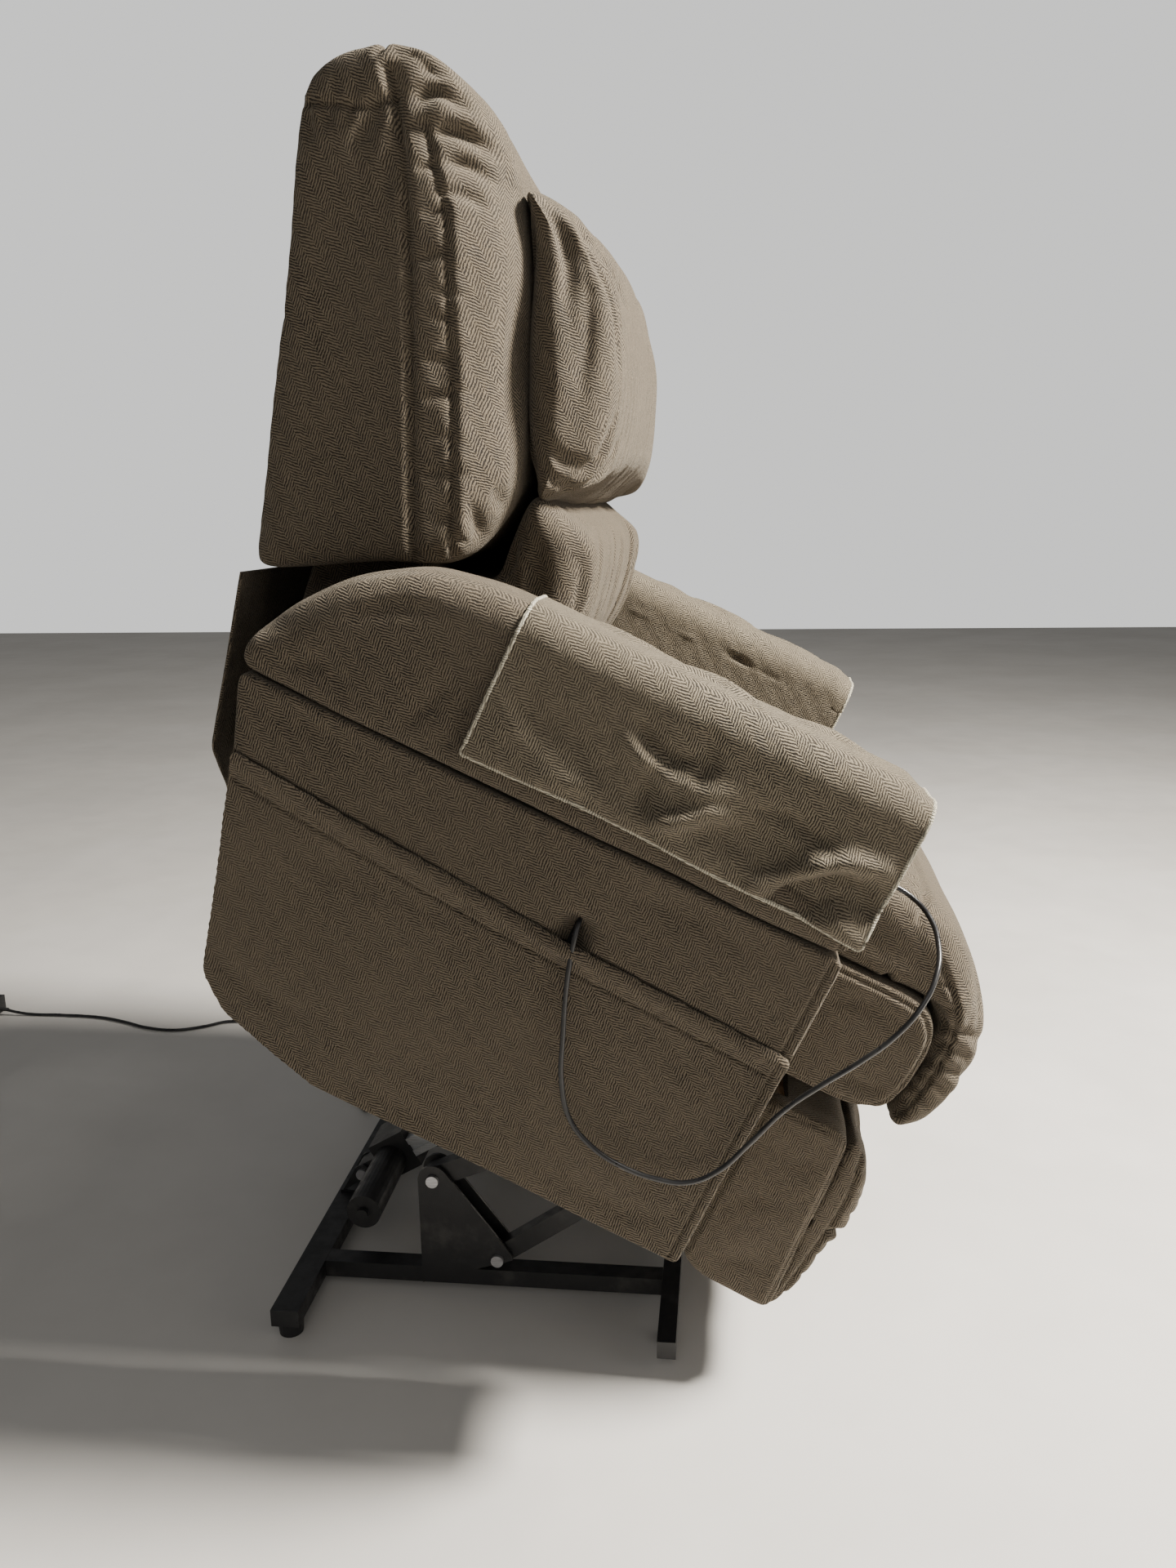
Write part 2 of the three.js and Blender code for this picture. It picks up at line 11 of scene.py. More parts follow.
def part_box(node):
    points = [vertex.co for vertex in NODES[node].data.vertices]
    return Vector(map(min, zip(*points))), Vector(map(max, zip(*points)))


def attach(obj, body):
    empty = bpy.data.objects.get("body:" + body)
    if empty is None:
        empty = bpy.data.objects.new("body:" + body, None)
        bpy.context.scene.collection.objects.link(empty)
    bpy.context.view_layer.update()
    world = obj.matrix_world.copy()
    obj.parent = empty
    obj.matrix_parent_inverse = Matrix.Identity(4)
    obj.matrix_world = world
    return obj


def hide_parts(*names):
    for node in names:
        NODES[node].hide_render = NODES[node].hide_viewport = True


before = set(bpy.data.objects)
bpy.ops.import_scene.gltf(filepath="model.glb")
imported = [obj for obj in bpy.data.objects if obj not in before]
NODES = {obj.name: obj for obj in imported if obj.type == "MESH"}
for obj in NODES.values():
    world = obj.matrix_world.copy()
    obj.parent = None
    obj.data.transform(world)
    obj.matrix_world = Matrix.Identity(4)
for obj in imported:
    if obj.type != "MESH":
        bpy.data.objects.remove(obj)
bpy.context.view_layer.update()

# The chair proper is tipped forward by TILT about its own origin. Its pieces are made in chair
# axes (u forward, y to the sitter's left, w up) in millimetres, and then set in the row frame.
TILT = math.radians(26)
CHAIR_ORIGIN = np.array([0.068, 0.0, 0.264])
COS, SIN = math.cos(TILT), math.sin(TILT)
MM = 0.001


def to_row(points):
    """Chair millimetres to row metres."""
    p = np.asarray(points, float) * MM
    turned = np.stack([p[:, 0] * COS + p[:, 2] * SIN, p[:, 1], p[:, 2] * COS - p[:, 0] * SIN], 1)
    return turned + CHAIR_ORIGIN


def linked(name, data):
    """A new object in the scene that shows the given data."""
    obj = bpy.data.objects.new(name, data)
    bpy.context.collection.objects.link(obj)
    return obj


# ---------------------------------------------------------------- camera, backdrop and light

CAMERA_PLACE = Vector((0.143, -1.596, 1.03))
CAMERA_PITCH = math.radians(12.755)
CAMERA_ROLL = math.radians(0.97)
CAMERA_YAW = math.radians(6.81)
CAMERA_LENS = 27.83


def add_camera():
    data = bpy.data.cameras.new("camera")
    data.lens, data.sensor_width = CAMERA_LENS, 36
    camera = linked("camera", data)
    ahead = Vector((0, math.cos(CAMERA_PITCH), -math.sin(CAMERA_PITCH)))
    down = Vector((0, -math.sin(CAMERA_PITCH), -math.cos(CAMERA_PITCH)))
    across = Vector((1, 0, 0))
    c, s = math.cos(CAMERA_ROLL), math.sin(CAMERA_ROLL)
    right, below = c * across + s * down, c * down - s * across
    axes = Matrix((right, -below, -ahead)).transposed()
    turn = Matrix.Rotation(CAMERA_YAW, 3, "Z")
    camera.matrix_world = Matrix.Translation(CAMERA_PLACE) @ (turn @ axes).to_4x4()
    bpy.context.scene.camera = camera


def add_light(name, place, aim, size, power, colour):
    data = bpy.data.lights.new(name, "AREA")
    data.shape, data.size, data.energy, data.color = "DISK", size, power, colour
    light = linked(name, data)
    light.location = place
    light.rotation_euler = (Vector(aim) - Vector(place)).to_track_quat("-Z", "Y").to_euler()


def add_lights():
    middle = (0.0, 0.0, 0.7)
    add_light("ceiling_light", (2.3, -0.15, 3.0), middle, 0.7, 560, (1.0, 0.95, 0.87))
    add_light("near_fill", (0.2, -3.4, 2.9), middle, 2.4, 22, (1.0, 0.97, 0.93))
    add_light("front_fill", (3.2, -1.3, 1.6), middle, 1.8, 14, (1.0, 0.95, 0.88))
    world = bpy.data.worlds.new("studio")
    world.use_nodes = True
    world.node_tree.nodes["Background"].inputs["Color"].default_value = (0.82, 0.82, 0.81, 1)
    world.node_tree.nodes["Background"].inputs["Strength"].default_value = 0.22
    bpy.context.scene.world = world


DOME_RADIUS = 30.0


def add_backdrop():
    """A pale dome far behind everything. It is seen, and lights nothing."""
    mesh = bpy.data.meshes.new("backdrop")
    dome = bmesh.new()
    bmesh.ops.create_uvsphere(dome, u_segments=48, v_segments=24, radius=DOME_RADIUS)
    dome.to_mesh(mesh)
    dome.free()
    backdrop = linked("backdrop", mesh)
    pale = Tree("pale_backdrop")
    pale.set(Base_Color=(0, 0, 0, 1), Emission_Color=(0.8, 0.8, 0.79, 1), Emission_Strength=1.15)
    mesh.materials.append(pale.material)
    backdrop.visible_diffuse = backdrop.visible_glossy = backdrop.visible_shadow = False


# ---------------------------------------------------------------- small helpers for node trees

class Tree:
    """A material's node tree, with short calls to add to it."""

    def __init__(self, name):
        self.material = bpy.data.materials.new(name)
        self.material.use_nodes = True
        self.nodes = self.material.node_tree.nodes
        self.links = self.material.node_tree.links
        self.shader = self.nodes["Principled BSDF"]

    def put(self, socket, value):
        if isinstance(value, bpy.types.NodeSocket):
            self.links.new(value, socket)
        else:
            socket.default_value = value

    def math(self, kind, *values):
        node = self.nodes.new("ShaderNodeMath")
        node.operation = kind
        for socket, value in zip(node.inputs, values):
            self.put(socket, value)
        return node.outputs[0]

    def noise(self, where, scale, detail=3.0, rough=0.55):
        node = self.nodes.new("ShaderNodeTexNoise")
        self.put(node.inputs["Vector"], where)
        node.inputs["Scale"].default_value = scale
        node.inputs["Detail"].default_value = detail
        node.inputs["Roughness"].default_value = rough
        return node.outputs["Fac"]

    def coordinates(self, kind="Object"):
        return self.nodes.new("ShaderNodeTexCoord").outputs[kind]

    def turned(self, vector, angle):
        """The vector turned about Y, from row axes to chair axes."""
        node = self.nodes.new("ShaderNodeVectorRotate")
        node.rotation_type = "Y_AXIS"
        self.put(node.inputs["Vector"], vector)
        node.inputs["Angle"].default_value = angle
        return node.outputs[0]

    def split(self, vector):
        node = self.nodes.new("ShaderNodeSeparateXYZ")
        self.put(node.inputs[0], vector)
        return node.outputs

    def remap(self, value, low, high, to_low=0.0, to_high=1.0):
        node = self.nodes.new("ShaderNodeMapRange")
        node.interpolation_type = "SMOOTHSTEP"
        for socket, v in zip(node.inputs, (value, low, high, to_low, to_high)):
            self.put(socket, v)
        return node.outputs[0]

    def mix(self, share, a, b):
        node = self.nodes.new("ShaderNodeMix")
        node.data_type = "RGBA"
        for socket, value in ((node.inputs[0], share), (node.inputs[6], a), (node.inputs[7], b)):
            self.put(socket, value)
        return node.outputs[2]

    def blend(self, share, a, b):
        node = self.nodes.new("ShaderNodeMix")
        for socket, value in zip(node.inputs[:4], (share, None, a, b)):
            if value is not None:
                self.put(socket, value)
        return node.outputs[0]

    def bump(self, height, distance, strength=1.0, under=None):
        node = self.nodes.new("ShaderNodeBump")
        self.put(node.inputs["Height"], height)
        node.inputs["Distance"].default_value = distance
        node.inputs["Strength"].default_value = strength
        if under is not None:
            self.put(node.inputs["Normal"], under)
        return node.outputs[0]

    def set(self, **values):
        for name, value in values.items():
            self.put(self.shader.inputs[name.replace("_", " ")], value)


# ---------------------------------------------------------------- materials

# Metres: the width of a column of the weave, the step from thread to thread, and how far the pile
# and the columns wander.
COLUMN, THREAD_PITCH = 0.0115, 0.0036
THREAD_WANDER, COLUMN_DRIFT = 0.0034, 0.006
TWILL_SLOPE = 0.95


def herringbone(tree, across, along, fuzz):
    """Slanted threads in columns, turning back at each column's edge and stepped by half a thread."""
    loose = tree.math("ADD", along, tree.math("MULTIPLY", fuzz, THREAD_WANDER))
    zigzag = tree.math("PINGPONG", across, COLUMN)
    parity = tree.math("FLOORED_MODULO", tree.math("FLOOR", tree.math("DIVIDE", across, COLUMN)), 2.0)
    slope = tree.math("MULTIPLY", zigzag, TWILL_SLOPE)
    place = tree.math("DIVIDE", tree.math("ADD", loose, slope), THREAD_PITCH)
    stepped = tree.math("ADD", place, tree.math("MULTIPLY", parity, 0.5))
    wave = tree.math("SINE", tree.math("MULTIPLY", stepped, 2 * math.pi))
    return tree.math("MULTIPLY_ADD", wave, 0.5, 0.5)


def chenille(name, dark, light, worn=(0.1, 0.082, 0.059)):
    """Two-tone herringbone chenille. The weave runs up the sides and along the tops of the chair."""
    t = Tree(name)
    place = t.turned(t.coordinates(), TILT)
    facing = t.split(t.turned(t.coordinates("Normal"), TILT))
    u, y, w = t.split(place)
    fuzz = t.math("SUBTRACT", t.noise(place, 210.0, 2.0), 0.5)
    drift = t.math("MULTIPLY", t.math("SUBTRACT", t.noise(place, 26.0, 2.0), 0.5), COLUMN_DRIFT)
    side = herringbone(t, t.math("ADD", u, drift), w, fuzz)
    top = herringbone(t, t.math("ADD", y, drift), u, fuzz)
    face = herringbone(t, t.math("ADD", y, drift), w, fuzz)
    faces_side = t.remap(t.math("ABSOLUTE", facing[1]), 0.5, 0.62)
    faces_top = t.remap(t.math("ABSOLUTE", facing[2]), 0.6, 0.72)
    weave = t.blend(faces_side, t.blend(faces_top, face, top), side)
    pile = t.noise(place, 640.0, 2.0, 0.6)
    clumps = t.noise(place, 95.0, 3.0, 0.6)
    lit = t.math("ADD", t.math("MULTIPLY", weave, 0.55), t.math("MULTIPLY", pile, 0.75))
    lit = t.math("ADD", lit, t.math("MULTIPLY", clumps, 0.35))
    colour = t.mix(t.remap(lit, 0.6, 1.0), (*dark, 1), (*light, 1))
    shade = t.noise(place, 5.5, 4.0, 0.6)
    colour = t.mix(t.remap(shade, 0.35, 0.72, 0.0, 0.34), colour, (*worn, 1))
    height = t.math("ADD", t.math("MULTIPLY", weave, 0.6), t.math("MULTIPLY", pile, 0.9))
    soft = t.bump(t.noise(place, 34.0, 3.0, 0.5), 0.0035, 0.5)
    t.set(Base_Color=colour, Normal=t.bump(height, 0.0011, 0.85, soft))
    t.set(Roughness=t.remap(clumps, 0.3, 0.7, 0.82, 0.96), Sheen_Weight=0.12, Sheen_Roughness=0.5)
    t.set(Sheen_Tint=(1.0, 0.92, 0.78, 1.0), Specular_IOR_Level=0.2)
    return t.material


def painted_steel(name, colour, shine, grain=0.0004):
    t = Tree(name)
    place = t.coordinates()
    dust = t.remap(t.noise(place, 16.0, 5.0, 0.65), 0.5, 0.78, 0.0, 0.3)
    t.set(Base_Color=t.mix(dust, (*colour, 1), (0.13, 0.12, 0.11, 1)))
    t.set(Roughness=t.remap(t.noise(place, 60.0), 0.3, 0.7, shine, shine + 0.18))
    t.set(Normal=t.bump(t.noise(place, 900.0, 2.0), grain, 0.5), Specular_IOR_Level=0.45)
    return t.material


def bare_metal(name, colour, rough, ribbed=0.0):
    """Metal with fine brushing, and, if ribbed, with lengthways ribs."""
    t = Tree(name)
    place = t.coordinates()
    stretch = t.nodes.new("ShaderNodeMapping")
    stretch.inputs["Scale"].default_value = (8, 320, 90)
    t.put(stretch.inputs["Vector"], place)
    brush = t.noise(stretch.outputs[0], 4.0, 4.0)
    t.set(Base_Color=t.mix(t.remap(brush, 0.3, 0.75, 0.0, 0.35), (*colour, 1), (0.2, 0.2, 0.2, 1)))
    t.set(Roughness=t.remap(brush, 0.3, 0.7, rough, rough + 0.2), Metallic=0.9)
    height = brush
    if ribbed:
        ribs = t.math("PINGPONG", t.split(place)[1], ribbed)
        height = t.math("MULTIPLY_ADD", t.math("DIVIDE", ribs, ribbed), 6.0, brush)
    t.set(Normal=t.bump(height, 0.0003, 0.7))
    return t.material


def moulded_plastic(name, colour, shine, grain=0.00025, parting=None):
    """Fine-grained plastic, with a parting line pressed in at that height if one is given."""
    t = Tree(name)
    place = t.coordinates()
    t.set(Base_Color=t.mix(t.remap(t.noise(place, 22.0, 4.0), 0.45, 0.8, 0.0, 0.25),
                           (*colour, 1), (0.09, 0.088, 0.085, 1)))
    t.set(Roughness=t.remap(t.noise(place, 45.0), 0.3, 0.7, shine, shine + 0.14))
    fine = t.bump(t.noise(place, 1400.0, 2.0), grain, 0.6)
    if parting:
        off = t.math("ABSOLUTE", t.math("SUBTRACT", t.split(place)[2], parting))
        fine = t.bump(t.remap(off, 0.0003, 0.0009), 0.0008, 1.0, fine)
    t.set(Normal=fine)
    return t.material


def plywood(name):
    t = Tree(name)
    stretch = t.nodes.new("ShaderNodeMapping")
    stretch.inputs["Scale"].default_value = (3, 40, 160)
    t.put(stretch.inputs["Vector"], t.coordinates())
    grain = t.noise(stretch.outputs[0], 2.5, 6.0, 0.6)
    t.set(Base_Color=t.mix(t.remap(grain, 0.3, 0.72), (0.42, 0.28, 0.15, 1), (0.2, 0.12, 0.06, 1)))
    t.set(Roughness=0.7, Normal=t.bump(grain, 0.0005, 0.6))
    return t.material


def floor_paint(name):
    t = Tree(name)
    place = t.coordinates()
    cloud = t.noise(place, 1.6, 6.0, 0.6)
    t.set(Base_Color=t.mix(t.remap(cloud, 0.3, 0.7), (0.56, 0.54, 0.51, 1), (0.62, 0.6, 0.57, 1)))
    t.set(Roughness=t.remap(t.noise(place, 9.0, 4.0), 0.3, 0.7, 0.55, 0.75))
    return t.material


FABRIC = chenille("chenille", (0.0082, 0.0064, 0.0046), (0.14, 0.113, 0.08))
COVER_FABRIC = chenille("cover_chenille", (0.0125, 0.0104, 0.0076), (0.2, 0.168, 0.12))
SEAM_FABRIC = chenille("seam_chenille", (0.009, 0.007, 0.005), (0.1, 0.08, 0.057))
HEM_THREAD = chenille("hem_thread", (0.12, 0.11, 0.085), (0.5, 0.46, 0.36), worn=(0.42, 0.4, 0.32))
BLACK_PAINT = painted_steel("black_paint", (0.012, 0.012, 0.013), 0.36)
BARE_STEEL = bare_metal("bare_steel_finish", (0.6, 0.6, 0.62), 0.28)
RIBBED_ALUMINIUM = bare_metal("ribbed_aluminium", (0.66, 0.67, 0.68), 0.34, ribbed=0.004)
BLACK_PLASTIC = moulded_plastic("black_moulding", (0.014, 0.014, 0.015), 0.42)
GREY_PLASTIC = moulded_plastic("grey_moulding", (0.075, 0.077, 0.08), 0.5)
CORD_JACKET = moulded_plastic("cord_vinyl", (0.008, 0.008, 0.009), 0.24, 0.0001)
SUPPLY_PLASTIC = moulded_plastic("supply_moulding", (0.016, 0.016, 0.017), 0.5, parting=0.019)
PLYWOOD = plywood("birch_plywood")

FINISH = {
    "black_steel": BLACK_PAINT, "bare_steel": BARE_STEEL, "aluminium": RIBBED_ALUMINIUM,
    "black_plastic": BLACK_PLASTIC, "grey_plastic": GREY_PLASTIC, "plywood": PLYWOOD,
    "chenille": FABRIC, "cord_jacket": CORD_JACKET,
}


def finish_nodes():
    """Each CAD node that shows takes the procedural finish of its own material."""
    for node in NODES.values():
        for slot in node.material_slots:
            kind = next((k for k in FINISH if slot.material and slot.material.name.startswith(k)), None)
            if kind:
                slot.material = FINISH[kind]


# ---------------------------------------------------------------- shaping closed soft pieces

CHAIR_MATRIX = Matrix.Translation(CHAIR_ORIGIN) @ Matrix.Rotation(TILT, 4, "Y")


def tube_faces(rings, sides):
    """The faces of a closed tube of that many rings, with its two ends capped."""
    faces = []
    for i in range(rings - 1):
        for k in range(sides):
            n = (k + 1) % sides
            faces.append((i * sides + k, i * sides + n, (i + 1) * sides + n, (i + 1) * sides + k))
    last = (rings - 1) * sides
    return faces + [tuple(range(sides))[::-1], tuple(last + k for k in range(sides))]


def new_object(name, points, faces):
    """A mesh object from chair millimetres, kept in chair metres until it is placed."""
    mesh = bpy.data.meshes.new(name)
    mesh.from_pydata([tuple(p) for p in np.asarray(points, float) * MM], [], faces)
    return linked(name, mesh)


def points_of(obj):
    flat = np.empty(len(obj.data.vertices) * 3)
    obj.data.vertices.foreach_get("co", flat)
    return flat.reshape(-1, 3) / MM


def move_points(obj, points):
    obj.data.vertices.foreach_set("co", (np.asarray(points) * MM).ravel())
    obj.data.update()


def normals_of(obj):
    flat = np.empty(len(obj.data.vertices) * 3)
    obj.data.vertices.foreach_get("normal", flat)
    return flat.reshape(-1, 3)


def keep_result(obj):
    """The modifiers' result becomes the mesh, and the modifiers go."""
    graph = bpy.context.evaluated_depsgraph_get()
    mesh = bpy.data.meshes.new_from_object(obj.evaluated_get(graph))
    old = obj.data
    obj.modifiers.clear()
    obj.data = mesh
    bpy.data.meshes.remove(old)


def remesh(obj, size):
    modifier = obj.modifiers.new("remesh", "REMESH")
    modifier.mode, modifier.voxel_size = "VOXEL", size * MM
    keep_result(obj)


def subdivide(obj):
    modifier = obj.modifiers.new("subdivision", "SUBSURF")
    modifier.levels = modifier.render_levels = 1
    keep_result(obj)


def relax(obj, rounds):
    """Evens the mesh out, which also rounds its edges a little."""
    points = points_of(obj)
    pairs = np.empty(len(obj.data.edges) * 2, int)
    obj.data.edges.foreach_get("vertices", pairs)
    a, b = pairs.reshape(-1, 2).T
    count = np.bincount(pairs, minlength=len(points))
    for _ in range(rounds):
        for axis in range(3):
            near = np.bincount(a, points[b, axis], len(points)) + np.bincount(b, points[a, axis], len(points))
            points[:, axis] += 0.5 * (near / count - points[:, axis])
    move_points(obj, points)


PUFF_FRAMES = 20


def puff(obj, pressure=4.0, cap=20.0, share=None):
    """Fills the piece like a stuffed cushion. No point moves over cap, times its share if given."""
    before = points_of(obj)
    cloth = obj.modifiers.new("puff", "CLOTH")
    cloth.settings.use_pressure = True
    cloth.settings.uniform_pressure_force = pressure
    cloth.settings.effector_weights.gravity = 0
    cloth.settings.quality = 4
    for number in range(1, PUFF_FRAMES + 1):
        bpy.context.scene.frame_set(number)
    graph = bpy.context.evaluated_depsgraph_get()
    filled = obj.evaluated_get(graph).to_mesh()
    flat = np.empty(len(filled.vertices) * 3)
    filled.vertices.foreach_get("co", flat)
    move = flat.reshape(-1, 3) / MM - before
    obj.modifiers.clear()
    bpy.context.scene.frame_set(1)
    size = np.linalg.norm(move, axis=1, keepdims=True)
    move *= np.minimum(1.0, cap / np.maximum(size, 1e-6))
    if share is not None:
        move *= share(before)[:, None]
    move_points(obj, before + move)


def smoothstep(value, low, high):
    t = np.clip((value - low) / (high - low), 0.0, 1.0)
    return t * t * (3 - 2 * t)


def curve_through(points, step=6.0, closed=False):
    """Even points along a smooth curve through the given ones."""
    p = np.asarray(points, float)
    count = len(p)
    pieces = []
    for i in range(count if closed else count - 1):
        if closed:
            a, b, c, d = (p[(i + k) % count] for k in (-1, 0, 1, 2))
        else:
            a, b, c, d = p[max(i - 1, 0)], p[i], p[i + 1], p[min(i + 2, count - 1)]
        steps = max(2, int(np.linalg.norm(c - b) / step))
        t = (np.arange(steps) / steps)[:, None]
        pieces.append(0.5 * (2 * b + (c - a) * t + (2 * a - 5 * b + 4 * c - d) * t ** 2
                             + (3 * b - a - 3 * c + d) * t ** 3))
    if not closed:
        pieces.append(p[-1:])
    return np.concatenate(pieces)


def cut_corners(points, radius):
    """A closed outline with each corner cut back by radius and turned in a short curve."""
    p = np.asarray(points, float)
    result = []
    for i in range(len(p)):
        back, here, on = p[i - 1], p[i], p[(i + 1) % len(p)]
        reach = [min(radius, 0.4 * np.linalg.norm(q - here)) for q in (back, on)]
        start = here + (back - here) / np.linalg.norm(back - here) * reach[0]
        end = here + (on - here) / np.linalg.norm(on - here) * reach[1]
        for t in np.linspace(0, 1, 6):
            result.append((1 - t) ** 2 * start + 2 * t * (1 - t) * here + t * t * end)
    return np.array(result)


def slab(name, loop, low, high):
    """A closed solid of the (u, w) loop, from y = low to y = high."""
    count = len(loop)
    points = [(u, y, w) for y in (low, high) for u, w in loop]
    faces = [tuple(range(count)), tuple(range(2 * count - 1, count - 1, -1))]
    faces += [(i + count, (i + 1) % count + count, (i + 1) % count, i) for i in range(count)]
    obj = new_object(name, points, faces)
    sheet = bmesh.new()
    sheet.from_mesh(obj.data)
    bmesh.ops.recalc_face_normals(sheet, faces=sheet.faces)
    sheet.to_mesh(obj.data)
    sheet.free()
    return obj


def nearest_on_loop(flat, loop):
    """Each flat point's distance from the closed loop, and the way in from the loop."""
    best = np.full(len(flat), np.inf)
    inward = np.zeros_like(flat)
    turn = np.sum(loop[:, 0] * np.roll(loop[:, 1], -1) - np.roll(loop[:, 0], -1) * loop[:, 1])
    for a, b in zip(loop, np.roll(loop, -1, 0)):
        run = b - a
        length = math.hypot(*run)
        if length < 1e-6:
            continue
        t = np.clip((flat - a) @ run / length ** 2, 0, 1)
        distance = np.linalg.norm(flat - a - t[:, None] * run, axis=1)
        closer = distance < best
        best[closer] = distance[closer]
        inward[closer] = np.array([-run[1], run[0]]) / length * (1 if turn > 0 else -1)
    return best, inward


def round_sides(obj, loop, span, radius):
    """Rolls the solid's side edges over, to the radius that radius(u, w) gives."""
    points = points_of(obj)
    depth, inward = nearest_on_loop(points[:, [0, 2]], loop)
    middle, half = sum(span) / 2, abs(span[1] - span[0]) / 2
    away = points[:, 1] - middle
    side = half - np.abs(away)
    r = radius(points[:, 0], points[:, 2])
    a, b = r - depth, r - side
    reach = np.hypot(a, b)
    out = (a > 0) & (b > 0) & (reach > r)
    scale = np.where(out, r / np.maximum(reach, 1e-6), 1.0)
    deeper = np.where(out, r - a * scale - depth, 0.0)
    narrower = np.where(out, r - b * scale - side, 0.0)
    points[:, 0] += inward[:, 0] * deeper
    points[:, 2] += inward[:, 1] * deeper
    points[:, 1] -= np.sign(away) * narrower
    move_points(obj, points)


def same_radius(radius):
    """The roll radius of a piece whose side edges are alike all round."""
    return lambda u, w: radius + 0 * u


# ---------------------------------------------------------------- seams, folds and gathers

def seen_from(points, side):
    """The flat place of each point: from the side (u, w), the front (|y|, w) or above (u, |y|)."""
    width = np.abs(points[:, 1])
    return {
        "side": points[:, [0, 2]],
        "front": np.stack([width, points[:, 2]], 1),
        "above": np.stack([points[:, 0], width], 1),
    }[side]


FACING = {"side": 1, "front": 0, "above": 2}


def fold(points, normals, side, path, width, depth, tapered=True):
    """Presses a fold or seam of that width and depth along the path; a negative depth is a ridge."""
    flat = seen_from(points, side)
    nearest = np.full(len(flat), np.inf)
    place = np.zeros(len(flat))
    line = curve_through(path, 8.0) if len(path) > 2 else np.asarray(path, float)
    done = 0.0
    total = np.linalg.norm(np.diff(line, axis=0), axis=1).sum()
    for a, b in zip(line, line[1:]):
        run = b - a
        length = max(math.hypot(*run), 1e-6)
        t = np.clip((flat - a) @ run / length ** 2, 0, 1)
        distance = np.linalg.norm(flat - a - t[:, None] * run, axis=1)
        closer = distance < nearest
        nearest[closer] = distance[closer]
        place[closer] = (done + t * length)[closer] / total
        done += length
    amount = depth * np.exp(-((nearest / width) ** 2))
    amount *= smoothstep(np.abs(normals[:, FACING[side]]), 0.2, 0.5)
    if tapered:
        amount *= np.sin(np.pi * np.clip(place, 0.02, 0.98)) ** 0.6
    points -= normals * amount[:, None]


def folds(points, normals, side, table):
    """Presses each (path, width, depth) of the table in turn."""
    for path, width, depth in table:
        fold(points, normals, side, path, width, depth)


def seam(points, normals, side, path, depth=4.0, width=3.2, roll=1.6):
    """A sewn seam: a sharp line pressed in, with the cloth swelling a little beside it."""
    fold(points, normals, side, path, width * 3.6, -roll, tapered=False)
    fold(points, normals, side, path, width, depth + roll, tapered=False)


def gathers(points, normals, side, path, reach, spacing, depth, seed, lean=0.0):
    """Small pleats that run from the path to the side that reach points to, unevenly spaced."""
    chance = random.Random(seed)
    line = curve_through(path, 4.0)
    at = 0.0
    along = np.concatenate([[0], np.cumsum(np.linalg.norm(np.diff(line, axis=0), axis=1))])
    while at < along[-1]:
        i = min(int(np.searchsorted(along, at)), len(line) - 2)
        run = (line[i + 1] - line[i]) / max(np.linalg.norm(line[i + 1] - line[i]), 1e-6)
        across = np.array([-run[1], run[0]])
        start = line[i] - across * 0.1 * reach
        way = across + run * (lean + chance.uniform(-0.35, 0.35))
        end = line[i] + way * reach * chance.uniform(0.55, 1.15)
        width = chance.uniform(3.2, 5.5)
        fold(points, normals, side, [start, end], width, depth * chance.uniform(0.5, 1.1))
        at += spacing * chance.uniform(0.6, 1.5)


def ripple(points, normals, size, height, seed):
    """Soft, wide unevenness, as stuffed cloth has."""
    chance = random.Random(seed)
    total = np.zeros(len(points))
    for _ in range(7):
        way = np.array([chance.uniform(-1, 1) for _ in range(3)])
        way /= np.linalg.norm(way) * size * chance.uniform(0.6, 1.5)
        total += np.sin(points @ way * 2 * math.pi + chance.uniform(0, 6.28))
    points += normals * (total * height / 4)[:, None]


# ---------------------------------------------------------------- the soft pieces

def set_in_place(obj, body, material, nodes):
    obj.data.transform(CHAIR_MATRIX)
    obj.data.shade_smooth()
    obj.data.materials.clear()
    obj.data.materials.append(material)
    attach(obj, body)
    if nodes:
        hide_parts(*nodes)


def cushion(name, loop, span, radius, detail, body, nodes, voxel=6.0, cap=0.0, share=None,
            rounds=4):
    """One stuffed piece: a solid with rolled edges, filled if cap is given, then sewn."""
    obj = slab(name, loop, *span)
    remesh(obj, voxel)
    if radius:
        round_sides(obj, loop, span, radius)
    relax(obj, rounds)
    if cap:
        puff(obj, cap=cap, share=share)
        relax(obj, 2)
    subdivide(obj)
    points = points_of(obj)
    detail(points, normals_of(obj))
    move_points(obj, points)
    set_in_place(obj, body, FABRIC, nodes)
    return obj


def both_sides(half):
    return (-half, half)


# Half widths across the chair, in chair millimetres.
BACK_HALF, FOOT_HALF, PILLOW_HALF, LUMBAR_HALF = 402, 334, 354, 328
SIDE_INNER, SIDE_OUTER = 345, 460
SEAT_HALF, SEAT_BOX_HALF = 334, 336
LEG_SIDE_HALF, LEG_PAD_HALF = 327.5, 322
LUMBAR_SEAM = 232

BACK_LOOP = curve_through([
    (-677, 470), (-688, 500), (-735, 675), (-793, 872), (-787, 925), (-746, 956), (-692, 972), (-632, 950),
    (-566, 857), (-521, 756), (-479, 652), (-482, 575), (-512, 546), (-560, 526), (-660, 474),
], 7.0, closed=True)
BACK_BAND = [(-728, 940), (-706, 912), (-682, 870), (-650, 807), (-620, 742), (-559, 604), (-528, 536)]
BACK_ROLL = [(-676, 912), (-660, 890), (-642, 867), (-628, 850), (-606, 805), (-584, 759), (-552, 692),
             (-509, 593), (-496, 556)]


def roll_line(w):
    u = [point[0] for point in reversed(BACK_ROLL)]
    return np.interp(w, [point[1] for point in reversed(BACK_ROLL)], u)


